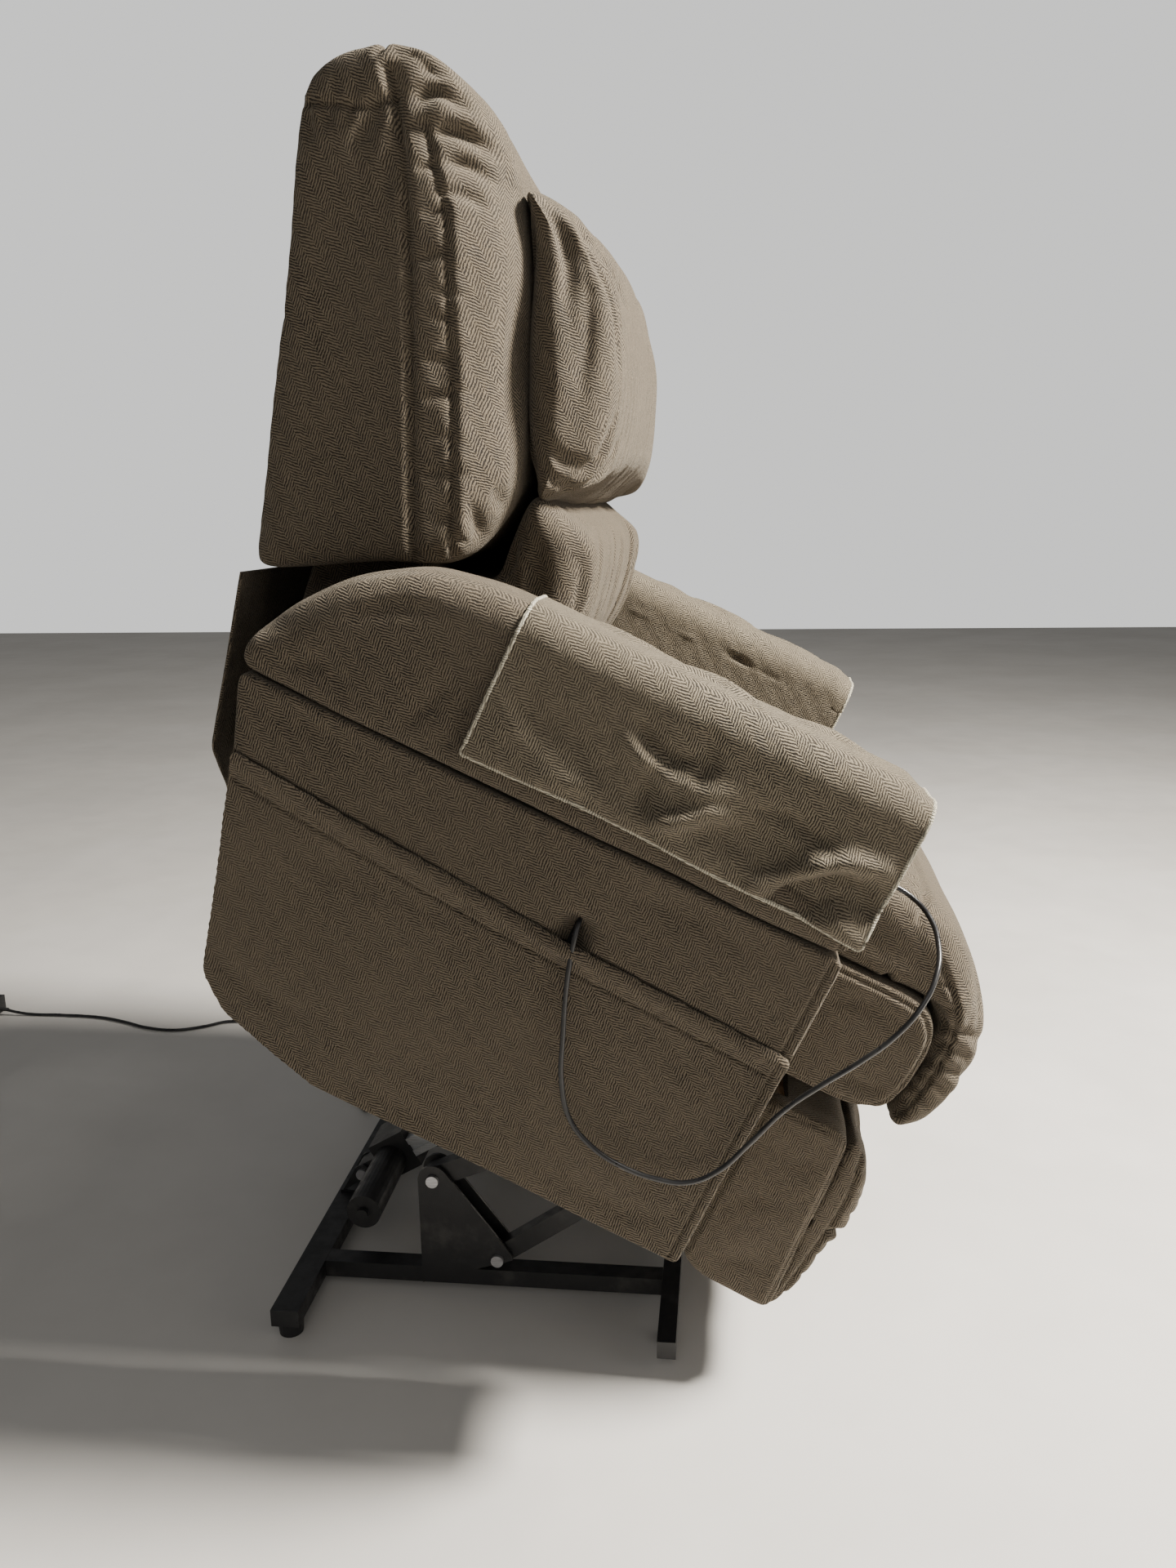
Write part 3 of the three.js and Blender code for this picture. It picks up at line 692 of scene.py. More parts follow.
def back_radius(u, w):
    full = 14 + 62 * smoothstep(u - roll_line(w), -25, 30)
    return full * (1 - 0.35 * smoothstep(w, 890, 960)) + 10 * smoothstep(w, 860, 950)


def back_detail(points, normals):
    seam_u = np.interp(points[:, 2], [536, 604, 742, 870, 940], [-528, -559, -620, -682, -728])
    band = smoothstep(points[:, 0] - seam_u, -6, 6)
    flat_band = band * (1 - smoothstep(points[:, 0] - roll_line(points[:, 2]), -8, 10))
    facing = smoothstep(np.abs(normals[:, 1]), 0.4, 0.8)
    points -= normals * (flat_band * facing * 5)[:, None]
    rear = (1 - band) * facing
    hollow = np.exp(-(((points[:, 0] + 690) / 75) ** 2 + ((points[:, 2] - 700) / 190) ** 2))
    points -= normals * (rear * hollow * 6)[:, None]
    ripple(points, normals, 170, 1.6, 3)
    seam(points, normals, "side", BACK_BAND, 7, 4, 2.5)
    seam(points, normals, "side", BACK_ROLL, 5, 3.2, 2)
    gathers(points, normals, "side", BACK_ROLL, -30, 30, 4.2, 11)
    gathers(points, normals, "side", BACK_ROLL, 16, 34, 2.6, 12)
    seam(points, normals, "side", [(-790, 882), (-759, 893), (-735, 900), (-712, 922)], 4.5, 3.2, 2)
    gathers(points, normals, "side", [(-788, 880), (-759, 893), (-722, 900)], -34, 15, 6, 13)
    gathers(points, normals, "side", [(-722, 900), (-759, 893), (-788, 880)], -22, 18, 4, 14)
    folds(points, normals, "side", (
        ([(-712, 936), (-704, 905), (-694, 872), (-684, 838)], 9, 7),
        ([(-728, 952), (-715, 925), (-722, 890), (-716, 852)], 8, 6),
        ([(-694, 924), (-684, 938), (-668, 944), (-650, 942)], 7, 11),
        ([(-670, 904), (-656, 916), (-640, 921), (-618, 920)], 7.5, 12),
        ([(-655, 882), (-644, 893), (-626, 898), (-606, 896)], 6, 6),
        ([(-640, 862), (-622, 872), (-600, 872)], 5.5, 5),
        ([(-700, 948), (-690, 958), (-672, 964)], 8, 6),
    ))
    for path in ([(-505, 620), (-490, 600), (-478, 575)], [(-520, 600), (-500, 575), (-492, 553)],
                 [(-490, 640), (-474, 622), (-466, 600)]):
        fold(points, normals, "side", path, 6, 4.5)
    seam(points, normals, "above", [(-775, 330), (-700, 330), (-630, 322)], 3.5, 3.2, 1.5)
    seam(points, normals, "above", [(-742, 0), (-742, 200), (-740, 400)], 4, 3.4, 2)


PILLOW_LOOP = curve_through([
    (-590, 908), (-556, 914), (-503, 876), (-453, 800), (-424, 716), (-422, 668), (-438, 644), (-466, 650),
    (-520, 757), (-560, 859),
], 7.0, closed=True)


def pillow_detail(points, normals):
    width = np.abs(points[:, 1])
    forward = smoothstep(normals[:, 0] * 0.8 + normals[:, 2] * 0.3, 0.1, 0.7)
    crown = (1 - (width / 330) ** 2.2).clip(0, 1) * forward
    points[:, 0] += 15 * crown
    points[:, 2] += 5 * crown
    ripple(points, normals, 120, 2.2, 21)
    folds(points, normals, "front", (
        ([(322, 905), (290, 868), (262, 812)], 7, 7), ([(318, 900), (262, 882), (205, 862)], 7, 7),
        ([(325, 893), (306, 845), (296, 790)], 6, 6), ([(300, 912), (236, 902), (170, 892)], 6, 5),
        ([(322, 655), (286, 682), (250, 735)], 8, 8), ([(325, 665), (304, 706), (292, 760)], 7, 7),
        ([(318, 650), (262, 668), (205, 700)], 8, 7), ([(296, 645), (225, 655), (160, 668)], 6, 6),
        ([(120, 648), (105, 672), (112, 705)], 7, 4), ([(40, 648), (30, 670), (22, 700)], 7, 4),
    ))
    folds(points, normals, "side", (
        ([(-500, 868), (-470, 812), (-452, 752)], 8, 5), ([(-470, 700), (-440, 690), (-415, 700)], 8, 6),
        ([(-465, 680), (-440, 668), (-418, 668)], 6, 6), ([(-560, 905), (-520, 868), (-498, 820)], 7, 6),
    ))


def pillow_share(points):
    """Only the pillow's front swells, because its rear lies against the back."""
    rear_face = np.interp(points[:, 2], [640, 760, 915], [-450, -484, -584])
    return smoothstep(points[:, 0] - rear_face, 0, 30)


LUMBAR_LOOP = curve_through([
    (-462, 640), (-430, 643), (-388, 622), (-366, 545), (-372, 470), (-395, 445), (-450, 450), (-506, 472),
    (-508, 530), (-466, 545),
], 7.0, closed=True)


def lumbar_detail(points, normals):
    width = np.abs(points[:, 1])
    forward = smoothstep(normals[:, 0], 0.1, 0.7)
    crown = 0.5 - 0.5 * np.cos(2 * math.pi * np.clip(width / LUMBAR_SEAM, 0, 1))
    wing = np.sin(math.pi * np.clip((width - LUMBAR_SEAM) / 98, 0, 1))
    points[:, 0] += (8 * crown * (width < LUMBAR_SEAM) + 12 * wing) * forward
    seam(points, normals, "front", [(232, 440), (234, 540), (238, 640)], 9, 4, 3)
    seam(points, normals, "front", [(0, 440), (0, 540), (0, 640)], 7, 5, 2)
    folds(points, normals, "front", (
        ([(262, 624), (292, 560), (300, 480)], 8, 7), ([(252, 600), (268, 540), (262, 470)], 6, 5),
        ([(318, 615), (312, 560), (322, 500)], 7, 6), ([(120, 630), (132, 560), (118, 470)], 9, 6),
        ([(70, 630), (60, 580), (66, 520)], 8, 5), ([(180, 632), (190, 590), (186, 540)], 8, 5),
    ))
    fold(points, normals, "side", [(-440, 610), (-415, 560), (-408, 500)], 9, 7)
    fold(points, normals, "side", [(-460, 590), (-440, 540), (-436, 490)], 7, 6)


def add_back():
    cushion("backrest_cover", BACK_LOOP, both_sides(BACK_HALF), back_radius, back_detail, "backrest",
            ["backrest"], voxel=7.5, cap=6.0,
            share=lambda p: smoothstep(p[:, 0] - roll_line(p[:, 2]), -60, 10))
    foot = cut_corners([(-650, 520), (-622, 232), (-578, 232), (-520, 440), (-520, 540), (-600, 590)], 25)
    cushion("backrest_foot", foot, both_sides(FOOT_HALF), same_radius(12),
            lambda p, n: ripple(p, n, 200, 1.2, 5), "backrest", [])
    cushion("bustle_pillow", PILLOW_LOOP, both_sides(PILLOW_HALF), same_radius(58), pillow_detail, "backrest",
            ["upper_pillow"], voxel=7.0, cap=14.0, share=pillow_share)
    cushion("lumbar_pillow", LUMBAR_LOOP, both_sides(LUMBAR_HALF), same_radius(34), lumbar_detail, "backrest",
            ["lumbar_cushion"])


def back_flap_point(s, t):
    """s runs down the flap and t across it, from -1 to 1."""
    line = curve_through([(-687, 455), (-668, 370), (-643, 256), (-621, 180), (-601, 112)], 10.0)
    i = s * (len(line) - 1)
    low = int(min(i, len(line) - 2))
    u, w = line[low] + (i - low) * (line[low + 1] - line[low])
    half = 337 + 63 * (1 - smoothstep(np.array(s), 0.5, 0.72))
    wave = 3.5 * math.sin(t * 9 + 1.2) * s + 2.0 * math.sin(t * 21) * s
    return (u + wave, t * float(half), w)


def sheet_from(name, rows, columns, place, thick):
    """A cloth of the given thickness from place(s, t), s from 0 to 1 and t from -1 to 1."""
    points = [place(r / rows, 2 * c / columns - 1) for r in range(rows + 1) for c in range(columns + 1)]
    wide = columns + 1
    faces = [(r * wide + c, r * wide + c + 1, (r + 1) * wide + c + 1, (r + 1) * wide + c)
             for r in range(rows) for c in range(columns)]
    obj = new_object(name, points, faces)
    modifier = obj.modifiers.new("thickness", "SOLIDIFY")
    modifier.thickness, modifier.offset = thick * MM, 0.0
    keep_result(obj)
    return obj


def add_back_flap():
    flap = sheet_from("rear_flap", 50, 110, back_flap_point, 2.4)
    set_in_place(flap, "backrest", FABRIC, ["back_flap"])


ARM_LOOP = cut_corners([
    (28, 380.6), (28, 545), (8, 561), (-440, 561), (-510, 547), (-570, 508), (-618, 455), (-643, 409),
    (-637, 380.6),
], 22)
ARM_ROLL, ARM_TOP = 34, 561


def arm_radius(u, w):
    return 5 + (ARM_ROLL - 5) * smoothstep(w, 395, 440)


def arm_detail(side):
    def detail(points, normals):
        covered = smoothstep(points[:, 0], -396, -380) * smoothstep(points[:, 2], 412, 430)
        points -= normals * (8.0 * covered * smoothstep(normals[:, 1] * side, 0.2, 0.6))[:, None]
        ripple(points, normals, 150, 1.6, 31 + side)
        for path in ([(-600, 400), (-560, 420), (-520, 400)], [(-470, 398), (-450, 430), (-440, 470)],
                     [(-420, 395), (-412, 430), (-418, 480)], [(-560, 470), (-520, 500), (-470, 520)]):
            fold(points, normals, "side", path, 9, 4)
        seam(points, normals, "side", [(14, 384), (14, 470), (14, 540)], 2.5, 2.6, 1)
    return detail


PANEL_LOOP = cut_corners([
    (28, 0.5), (28, 379.6), (-638, 379.6), (-612, 304), (-584, 185), (-556, 65), (-520, 34), (-456, 15),
    (-400, 0.5),
], 14)
POCKET_TOP = [(-612, 303), (-475, 291), (-279, 277), (27, 264)]
HANDSET_PIT = ((-257, -193), (98, 270))


def pocket_top(u):
    return np.interp(u, [p[0] for p in POCKET_TOP], [p[1] for p in POCKET_TOP])


def sink_behind_pocket(points, normals):
    """The panel steps in behind the pocket, and deeper round the handset and at the cord's way in."""
    u, w = points[:, 0], points[:, 2]
    outer = smoothstep(-normals[:, 1], 0.3, 0.8) * smoothstep(-points[:, 1], 430, 445)
    step = 5.2 * smoothstep(pocket_top(u) - w, -3, 3)
    (rear, front), (low, high) = HANDSET_PIT
    pit = smoothstep(u, rear, rear + 6) * smoothstep(-u, -front, 6 - front)
    pit *= smoothstep(w, low, low + 6) * smoothstep(-w, -high, 8 - high)
    mouth = np.exp(-(((u + 225) / 15) ** 2)) * smoothstep(-w, -312, -284) * smoothstep(w, 250, 270)
    points[:, 1] += outer * np.maximum(np.maximum(step, 36 * pit), 21 * mouth)


def panel_detail(side):
    def detail(points, normals):
        ripple(points, normals, 210, 2.0, 41 + side)
        if side < 0:
            sink_behind_pocket(points, normals)
        outward = normals[:, 1] * side > 0.5
        edge = np.exp(-(((points[:, 2] - 379) / 7) ** 2)) * outward
        points += normals * (edge * 2.2)[:, None]
        seam(points, normals, "side", [(15, 6), (15, 190), (15, 374)], 2.8, 2.4, 1.2)
        seam(points, normals, "side", [(21, 6), (21, 190), (21, 374)], 1.6, 1.6, 0)
        for path in ([(-560, 130), (-500, 100), (-430, 92)], [(-520, 70), (-470, 60), (-410, 66)],
                     [(-300, 14), (-200, 22), (-90, 12)], [(-610, 350), (-540, 356), (-470, 350)],
                     [(-200, 345), (-110, 352), (-30, 344)]):
            fold(points, normals, "side", path, 12, 3)
    return detail


POCKET_BACK = 455.4
POCKET_OUTLINE = [
    (27.5, 0.5), *reversed(POCKET_TOP), (-584, 185), (-556, 65), (-520, 34), (-456, 15), (-400, 0.5),
]


def pocket_detail(points, normals):
    """The lip swells outward, a stitch line runs under it, and the cloth sags a little behind the cord."""
    below = pocket_top(points[:, 0]) - points[:, 2]
    outer = normals[:, 1] < -0.3
    lip = np.exp(-(((below - 9) / 11) ** 2)) * (1 + 1.1 * np.exp(-(((points[:, 0] + 225) / 26) ** 2)))
    points[:, 1] -= 5.5 * lip
    points[:, 1] -= 1.6 * np.exp(-(((below - 60) / 40) ** 2))
    ripple(points, normals, 190, 1.8 * 0.8, 51)
    stitch = [(-600, 274), (-475, 262), (-279, 249), (10, 238)]
    seam(points, normals, "side", stitch, 2.0, 2.2, 0.6)
    gathers(points, normals, "side", stitch, 14, 46, 1.6, 52)
    for path, width, depth in (
        ([(-520, 230), (-470, 236), (-420, 224)], 14, 2.6), ([(-236, 262), (-228, 200), (-205, 150)], 9, 2.4),
        ([(-150, 240), (-90, 214), (-30, 196)], 14, 2.2), ([(-560, 90), (-500, 74), (-430, 70)], 12, 2.5),
        ([(-380, 30), (-300, 22), (-220, 30)], 12, 2.2), ([(-120, 40), (-60, 30), (0, 44)], 12, 2.4),
        ([(-450, 262), (-400, 240), (-330, 246)], 12, 2.0),
    ):
        fold(points, normals, "side", path, width, depth * outer)
    seam(points, normals, "side", [(15, 6), (15, 130), (15, 255)], 1.8, 2.2, 0.8)


def add_sides():
    for label, side in (("left", 1), ("right", -1)):
        span = sorted((side * SIDE_INNER, side * SIDE_OUTER))
        cushion(f"arm_{label}", ARM_LOOP, span, arm_radius, arm_detail(side), "chair_frame",
                [f"arm_pad_{label}"])
        cushion(f"side_{label}", PANEL_LOOP, span, same_radius(7), panel_detail(side), "chair_frame",
                [f"side_panel_{label}"], voxel=5.0, rounds=2)
    outline = cut_corners(POCKET_OUTLINE, 10)
    cushion("side_pocket", outline, (-SIDE_OUTER, -POCKET_BACK), None, pocket_detail, "chair_frame",
            ["pocket_panel"], voxel=2.3, rounds=1)


SEAT_BOX_LOOP = cut_corners([
    (-420, 193), (140, 193), (178, 207), (189, 245), (188, 300), (172, 330), (140, 339), (-420, 339),
], 20)
SEAT_LOOP = cut_corners([
    (-400, 340.6), (-400, 428), (-300, 439), (80, 438), (160, 424), (207, 379), (242, 327), (242, 250),
    (228, 204), (208, 185), (190.6, 186), (190.6, 318), (168, 340.6),
], 22)


def seat_detail(points, normals):
    width = np.abs(points[:, 1])
    crown = (1 - (width / 337) ** 2).clip(0, 1)
    points[:, 2] += 7 * crown * smoothstep(normals[:, 2], 0.3, 0.8)
    points[:, 0] += 4 * crown * smoothstep(normals[:, 0], 0.3, 0.8)
    ripple(points, normals, 130, 1.8, 61)
    front = [(150, 386), (186, 352), (206, 300), (204, 240), (196, 205)]
    seam(points, normals, "side", front, 4, 3, 2)
    gathers(points, normals, "side", front, -24, 22, 3.6, 62)
    for path in ([(190, 318), (214, 326), (236, 322)], [(192, 300), (216, 304), (242, 298)],
                 [(193, 282), (216, 281), (242, 274)], [(192, 264), (214, 260), (238, 250)],
                 [(190, 246), (208, 238), (228, 226)], [(184, 228), (198, 216), (212, 204)]):
        fold(points, normals, "side", path, 5, 4.5)
    seam(points, normals, "above", [(110, 0), (112, 150), (108, 330)], 5, 4, 2)
    gathers(points, normals, "above", [(112, 0), (112, 150), (108, 320)], 38, 46, 3.4, 63)
    gathers(points, normals, "front", [(10, 212), (150, 214), (322, 212)], -46, 34, 2.4, 64)
    folds(points, normals, "front", (
        ([(300, 400), (310, 350), (318, 300)], 8, 5), ([(322, 300), (300, 262), (296, 220)], 8, 6),
        ([(318, 330), (280, 300), (262, 250)], 8, 4),
    ))


def seat_box_detail(points, normals):
    ripple(points, normals, 140, 1.5, 66)
    rim = [(20, 332), (140, 331), (168, 320), (181, 296), (181, 246), (170, 214), (138, 200), (20, 199)]
    seam(points, normals, "side", rim, 2.4, 2.6, 1.6)
    fold(points, normals, "side", [(60, 300), (110, 310), (160, 296)], 10, 4)
    fold(points, normals, "side", [(90, 232), (130, 222), (168, 232)], 9, 3.5)


def add_seat():
    cushion("seat_roll", SEAT_LOOP, both_sides(SEAT_HALF), lambda u, w: 22 + 14 * smoothstep(u, 60, 200),
            seat_detail, "chair_frame", ["seat_cushion"], voxel=7.5, cap=9.0,
            share=lambda p: smoothstep(np.maximum(p[:, 0] - 190, p[:, 2] - 345), 2, 30))
    cushion("seat_side", SEAT_BOX_LOOP, both_sides(SEAT_BOX_HALF), same_radius(12), seat_box_detail,
            "chair_frame", ["seat_box"])


LEG_SIDE_LOOP = cut_corners([
    (58, -66), (58, 140), (66, 157), (152, 158), (168, 146), (173, 60), (182, -78), (176, -88), (92, -86),
    (74, -80),
], 15)
LEG_PAD_LOOP = curve_through([
    (168, 148), (186, 143), (202, 118), (211, 84), (211, 40), (206, 0), (199, -50), (188, -84), (176, -86),
    (172, -20), (166, 60),
], 6.0, closed=True)


def leg_side_detail(points, normals):
    """The rear of the legrest is open between its two side walls, where its board and links show."""
    behind = (points[:, 0] < 84) & (np.abs(points[:, 1]) < 300) & (normals[:, 0] < 0.5)
    points[behind, 0] = 86
    ripple(points, normals, 120, 1.8, 71)
    line = [(64, -60), (66, 142), (80, 150), (150, 151), (162, 140), (168, 60), (176, -74)]
    seam(points, normals, "side", line, 1.6, 2.4, 0.8)
    for path in ([(90, 120), (120, 100), (150, 108)], [(84, 20), (110, 40), (150, 34)],
                 [(100, -60), (130, -40), (166, -48)]):
        fold(points, normals, "side", path, 12, 2.6)


def leg_pad_detail(points, normals):
    width = np.abs(points[:, 1])
    points[:, 0] += 5 * (1 - (width / 328) ** 2).clip(0, 1) * smoothstep(normals[:, 0], 0.3, 0.8)
    ripple(points, normals, 110, 1.8, 72)
    edge = [(172, 140), (174, 60), (180, -20), (186, -78)]
    gathers(points, normals, "side", edge, -20, 17, 2.8, 73, lean=0.4)
    seam(points, normals, "side", [(190, 140), (198, 80), (196, 0), (190, -70)], 3, 3, 1.5)
    seam(points, normals, "front", [(0, 34), (160, 32), (326, 36)], 6, 5, 2.5)
    gathers(points, normals, "front", [(0, 34), (160, 32), (320, 36)], 30, 48, 3, 74)
    gathers(points, normals, "front", [(314, -66), (312, 40), (314, 126)], 30, 24, 2.6, 75)


def add_legrest():
    cushion("legrest_side", LEG_SIDE_LOOP, both_sides(LEG_SIDE_HALF), same_radius(9),
            leg_side_detail, "legrest", [], voxel=5.0, rounds=2)
    cushion("legrest_cushion", LEG_PAD_LOOP, both_sides(LEG_PAD_HALF), same_radius(17),
            leg_pad_detail, "legrest", ["legrest_pad"], voxel=5.0, cap=5.0,
            share=lambda p: smoothstep(p[:, 0], 176, 190))


# ---------------------------------------------------------------- arm covers

COVER_OUT, COVER_IN, COVER_LIFT = 404.0, 455.0, 2.4
COVER_REAR, COVER_FRONT, COVER_SKEW = -399.0, 30.0, 2.0


def cover_section():
    """Across the arm from the outer hem over the top to the inner hem, as (|y|, w)."""
    r = ARM_ROLL + COVER_LIFT
    outer, inner, top = SIDE_OUTER + COVER_LIFT, SIDE_INNER - COVER_LIFT, ARM_TOP + COVER_LIFT
    turn = np.linspace(0, math.pi / 2, 12)
    rise = [(outer, w) for w in np.linspace(COVER_OUT, top - r, 26)[:-1]]
    over = [(outer - r + r * math.cos(a), top - r + r * math.sin(a)) for a in turn]
    flat = [(y, top) for y in np.linspace(outer - r, inner + r, 10)[1:-1]]
    down = [(inner + r - r * math.sin(a), top - r + r * math.cos(a)) for a in turn]
    fall = [(inner, w) for w in np.linspace(top - r, COVER_IN, 14)[1:]]
    return np.array(rise + over + flat + down + fall)


SECTION = cover_section()
SECTION_RUN = np.concatenate([[0], np.cumsum(np.linalg.norm(np.diff(SECTION, axis=0), axis=1))])
COVER_WIDTH = SECTION_RUN[-1]

# Each fold of a cover: its path over the outer side (u, w), its width, and its height (a hollow is negative).
NEAR_FOLDS = (
    ([(-386, 517), (-350, 474), (-300, 462)], 16, -2.5), ([(-392, 470), (-350, 440), (-300, 428)], 14, 2.0),
    ([(-255, 505), (-240, 492), (-215, 486), (-192, 496)], 8, -6),
    ([(-260, 486), (-236, 476), (-206, 468)], 9, 5),
    ([(-190, 520), (-178, 500), (-183, 482)], 8, -4), ([(-224, 468), (-222, 440), (-206, 416)], 9, -4),
    ([(-206, 472), (-180, 470), (-150, 482)], 12, 4.5),
    ([(-212, 420), (-185, 436), (-161, 456), (-138, 462)], 10, 7),
    ([(-150, 445), (-105, 452), (-70, 438), (-40, 415)], 20, -7),
    ([(-88, 415), (-62, 438), (-42, 462), (-20, 476), (12, 484)], 11, 9),
    ([(-50, 420), (-20, 448), (4, 452), (18, 446)], 13, -10), ([(-30, 402), (0, 418), (20, 412)], 10, 4),
    ([(-125, 478), (-90, 486), (-40, 474)], 9, -5), ([(-330, 415), (-270, 428), (-230, 410)], 11, 3.5),
)
FAR_FOLDS = (
    ([(-330, 500), (-280, 480), (-240, 500)], 12, 4), ([(-160, 520), (-130, 490), (-90, 500)], 12, -5),
    ([(-220, 440), (-180, 470), (-140, 460)], 14, 5), ([(-60, 430), (-30, 470), (10, 480)], 14, 6),
)
TOP_FOLDS = (
    ([(-330, 380), (-300, 400), (-270, 390)], 10, 2.5), ([(-250, 420), (-200, 400), (-160, 425)], 9, 3.5),
    ([(-235, 370), (-190, 378), (-150, 362)], 9, -2.0), ([(-120, 400), (-80, 385), (-40, 410)], 11, 3.0),
)
FOLD_SCALE = 2.1


def near_path(u, v, path):
    """The distance from (u, v) to the path, and how far along it that is, from 0 to 1."""
    line = np.asarray(path, float)
    best, place = 1e9, 0.0
    for i, (a, b) in enumerate(zip(line, line[1:])):
        run = b - a
        t = min(1, max(0, float((np.array((u, v)) - a) @ run / (run @ run))))
        distance = math.hypot(u - a[0] - t * run[0], v - a[1] - t * run[1])
        if distance < best:
            best, place = distance, (i + t) / (len(line) - 1)
    return best, place


def cover_lift(u, y, w, on_top, folds):
    """How far the cloth stands off the arm at one place."""
    spot, paths = ((u, y), TOP_FOLDS) if on_top else ((u, w), folds)
    total = 0.0
    for path, width, height in paths:
        distance, place = near_path(*spot, path)
        ends = math.sin(math.pi * (0.1 + 0.8 * place)) ** 0.7
        total += FOLD_SCALE * height * math.exp(-((distance / width) ** 2)) * ends
    return total


def add_cover(label, side, folds):
    """The sewn cover over one arm, with its serged hem."""
    def place(s, t):
        run = (t + 1) / 2 * COVER_WIDTH
        y = float(np.interp(run, SECTION_RUN, SECTION[:, 0]))
        w = float(np.interp(run, SECTION_RUN, SECTION[:, 1]))
        rear = COVER_REAR + COVER_SKEW * t
        u = rear + s * (COVER_FRONT - rear)
        i = min(int(np.searchsorted(SECTION_RUN, run)), len(SECTION) - 1)
        way = SECTION[i] - SECTION[max(i - 1, 0)]
        out = np.array([way[1], -way[0]]) / max(np.linalg.norm(way), 1e-6)
        on_top = 150 < run < 290
        free = 4.0 * smoothstep(np.array(1 - (run / 60)), 0.0, 1.0) * (0.6 + 0.4 * math.sin(u / 31 + 1))
        lift = max(cover_lift(u, y, w, on_top, folds) if run < 300 else 0.0, -9.0) + float(free)
        sag = 9 * smoothstep(np.array(u), -60, 30) * (1 - smoothstep(np.array(run), 0, 140))
        droop = 2.2 * math.sin(u / 47 + 0.6) * (1 - min(1.0, run / 50))
        front = smoothstep(np.array(s), 0.93, 1.0) * smoothstep(np.array(run), 120, 200)
        y += out[0] * lift
        w += out[1] * lift - float(sag) * 0.9 + droop - 9 * float(front) * (run < 300)
        return (u, side * y, w)

    cover = sheet_from(f"cover_{label}", 120, 100, place, 2.0)
    hem_line = [place(0, 1 - 2 * k / 40) for k in range(40)]
    hem_line += [place(k / 60, -1) for k in range(60)]
    hem_line += [place(1, -1 + 2 * k / 40) for k in range(41)]
    hem = tube(f"cover_hem_{label}", curve_through(hem_line, 4.0), 2.3, 8, twist=9.0)
    set_in_place(cover, "chair_frame", COVER_FABRIC, [f"arm_cover_{label}"])
    set_in_place(hem, "chair_frame", HEM_THREAD, [])


def tube(name, line, radius, sides, twist=0.0, swell=0.16):
    """A closed tube along the line. With twist, its thickness runs in waves twist mm long, like cord."""
    rings = []
    line = np.asarray(line, float)
    done = 0.0
    up = np.array([0.0, 0.0, 1.0])
    for i, point in enumerate(line):
        ahead = line[min(i + 1, len(line) - 1)] - line[max(i - 1, 0)]
        ahead /= max(np.linalg.norm(ahead), 1e-9)
        across = np.cross(ahead, up)
        if np.linalg.norm(across) > 0.1:
            across = across / np.linalg.norm(across)
        else:
            across = np.cross(ahead, (1, 0, 0))
        across /= np.linalg.norm(across)
        upward = np.cross(across, ahead)
        done += np.linalg.norm(point - line[max(i - 1, 0)])
        r = radius * (1 + (swell * math.sin(2 * math.pi * done / twist) if twist else 0))
        for k in range(sides):
            a = 2 * math.pi * k / sides
            rings.append(point + r * (math.cos(a) * across + math.sin(a) * upward))
    return new_object(name, rings, tube_faces(len(line), sides))


def add_covers():
    add_cover("right", -1, NEAR_FOLDS)
    add_cover("left", 1, FAR_FOLDS)


# ---------------------------------------------------------------- cords

HANDSET_CORD, POWER_CORD, MAINS_CORD = 0.0055, 0.006, 0.007

# Chair millimetres: out of the arm's front, down in a loop outside the pocket, and over its lip.
HANDSET_ROUTE = [
    (36.5, -362, 448), (56, -363, 449), (78, -369, 447), (96, -388, 441), (107, -420, 428), (111, -450, 408),
    (108, -470, 377), (98, -476, 338), (80, -478, 299), (60, -478, 262), (40, -478, 220), (26, -478, 170),
    (12, -478, 128), (-9, -478, 102), (-40, -478, 90), (-79, -478, 86), (-115, -478, 92), (-145, -478, 108),
    (-171, -477, 143), (-189, -474, 185), (-205, -471, 225), (-217, -468, 262), (-224, -462, 290),
    (-225, -450, 297), (-225, -442, 288), (-225, -441, 265.5),
]
# Row millimetres: from the clip on the base's rear tube, along the floor, to the power supply.
POWER_ROUTE = [
    (-436.5, 276, 30), (-452, 277, 29), (-468, 282, 20), (-481, 292, 8), (-495, 307, 3.7),
    (-530, 362, 3.7), (-580, 440, 3.7), (-650, 522, 3.7), (-740, 600, 3.7), (-820, 645, 3.7),
    (-885, 652, 3.7), (-930, 622, 3.7),
    (-977, 602, 3.7), (-1040, 607, 3.7), (-1110, 634, 3.7), (-1165, 650, 3.7), (-1259, 656, 3.7),
    (-1330, 655, 4), (-1364, 654, 9), (-1384, 654, 13.2), (-1399.4, 654, 14),
]
MAINS_ROUTE = [
    (-1540.9, 654, 14), (-1556, 654, 12.6), (-1574, 651, 7), (-1588, 646, 4.6), (-1599, 641, 4.2),
    (-1613, 635.5, 4.1),
]
COIL_MIDDLE = (-1620, 585)
COIL_OUTER, COIL_INNER, COIL_STEP = 43.6, 28.4, 7.6
COIL_FLOOR, COIL_SECOND = 4.1, 11.5
COIL_TURNS, COIL_ENTRY, COIL_EXIT, COIL_CHANGE = 6, 112, 205, 40
PLUG_TAIL = [(-1641, 545, 12.2), (-1630, 529, 12.4), (-1616, 521, 12.5), (-1603, 520, 12.5)]


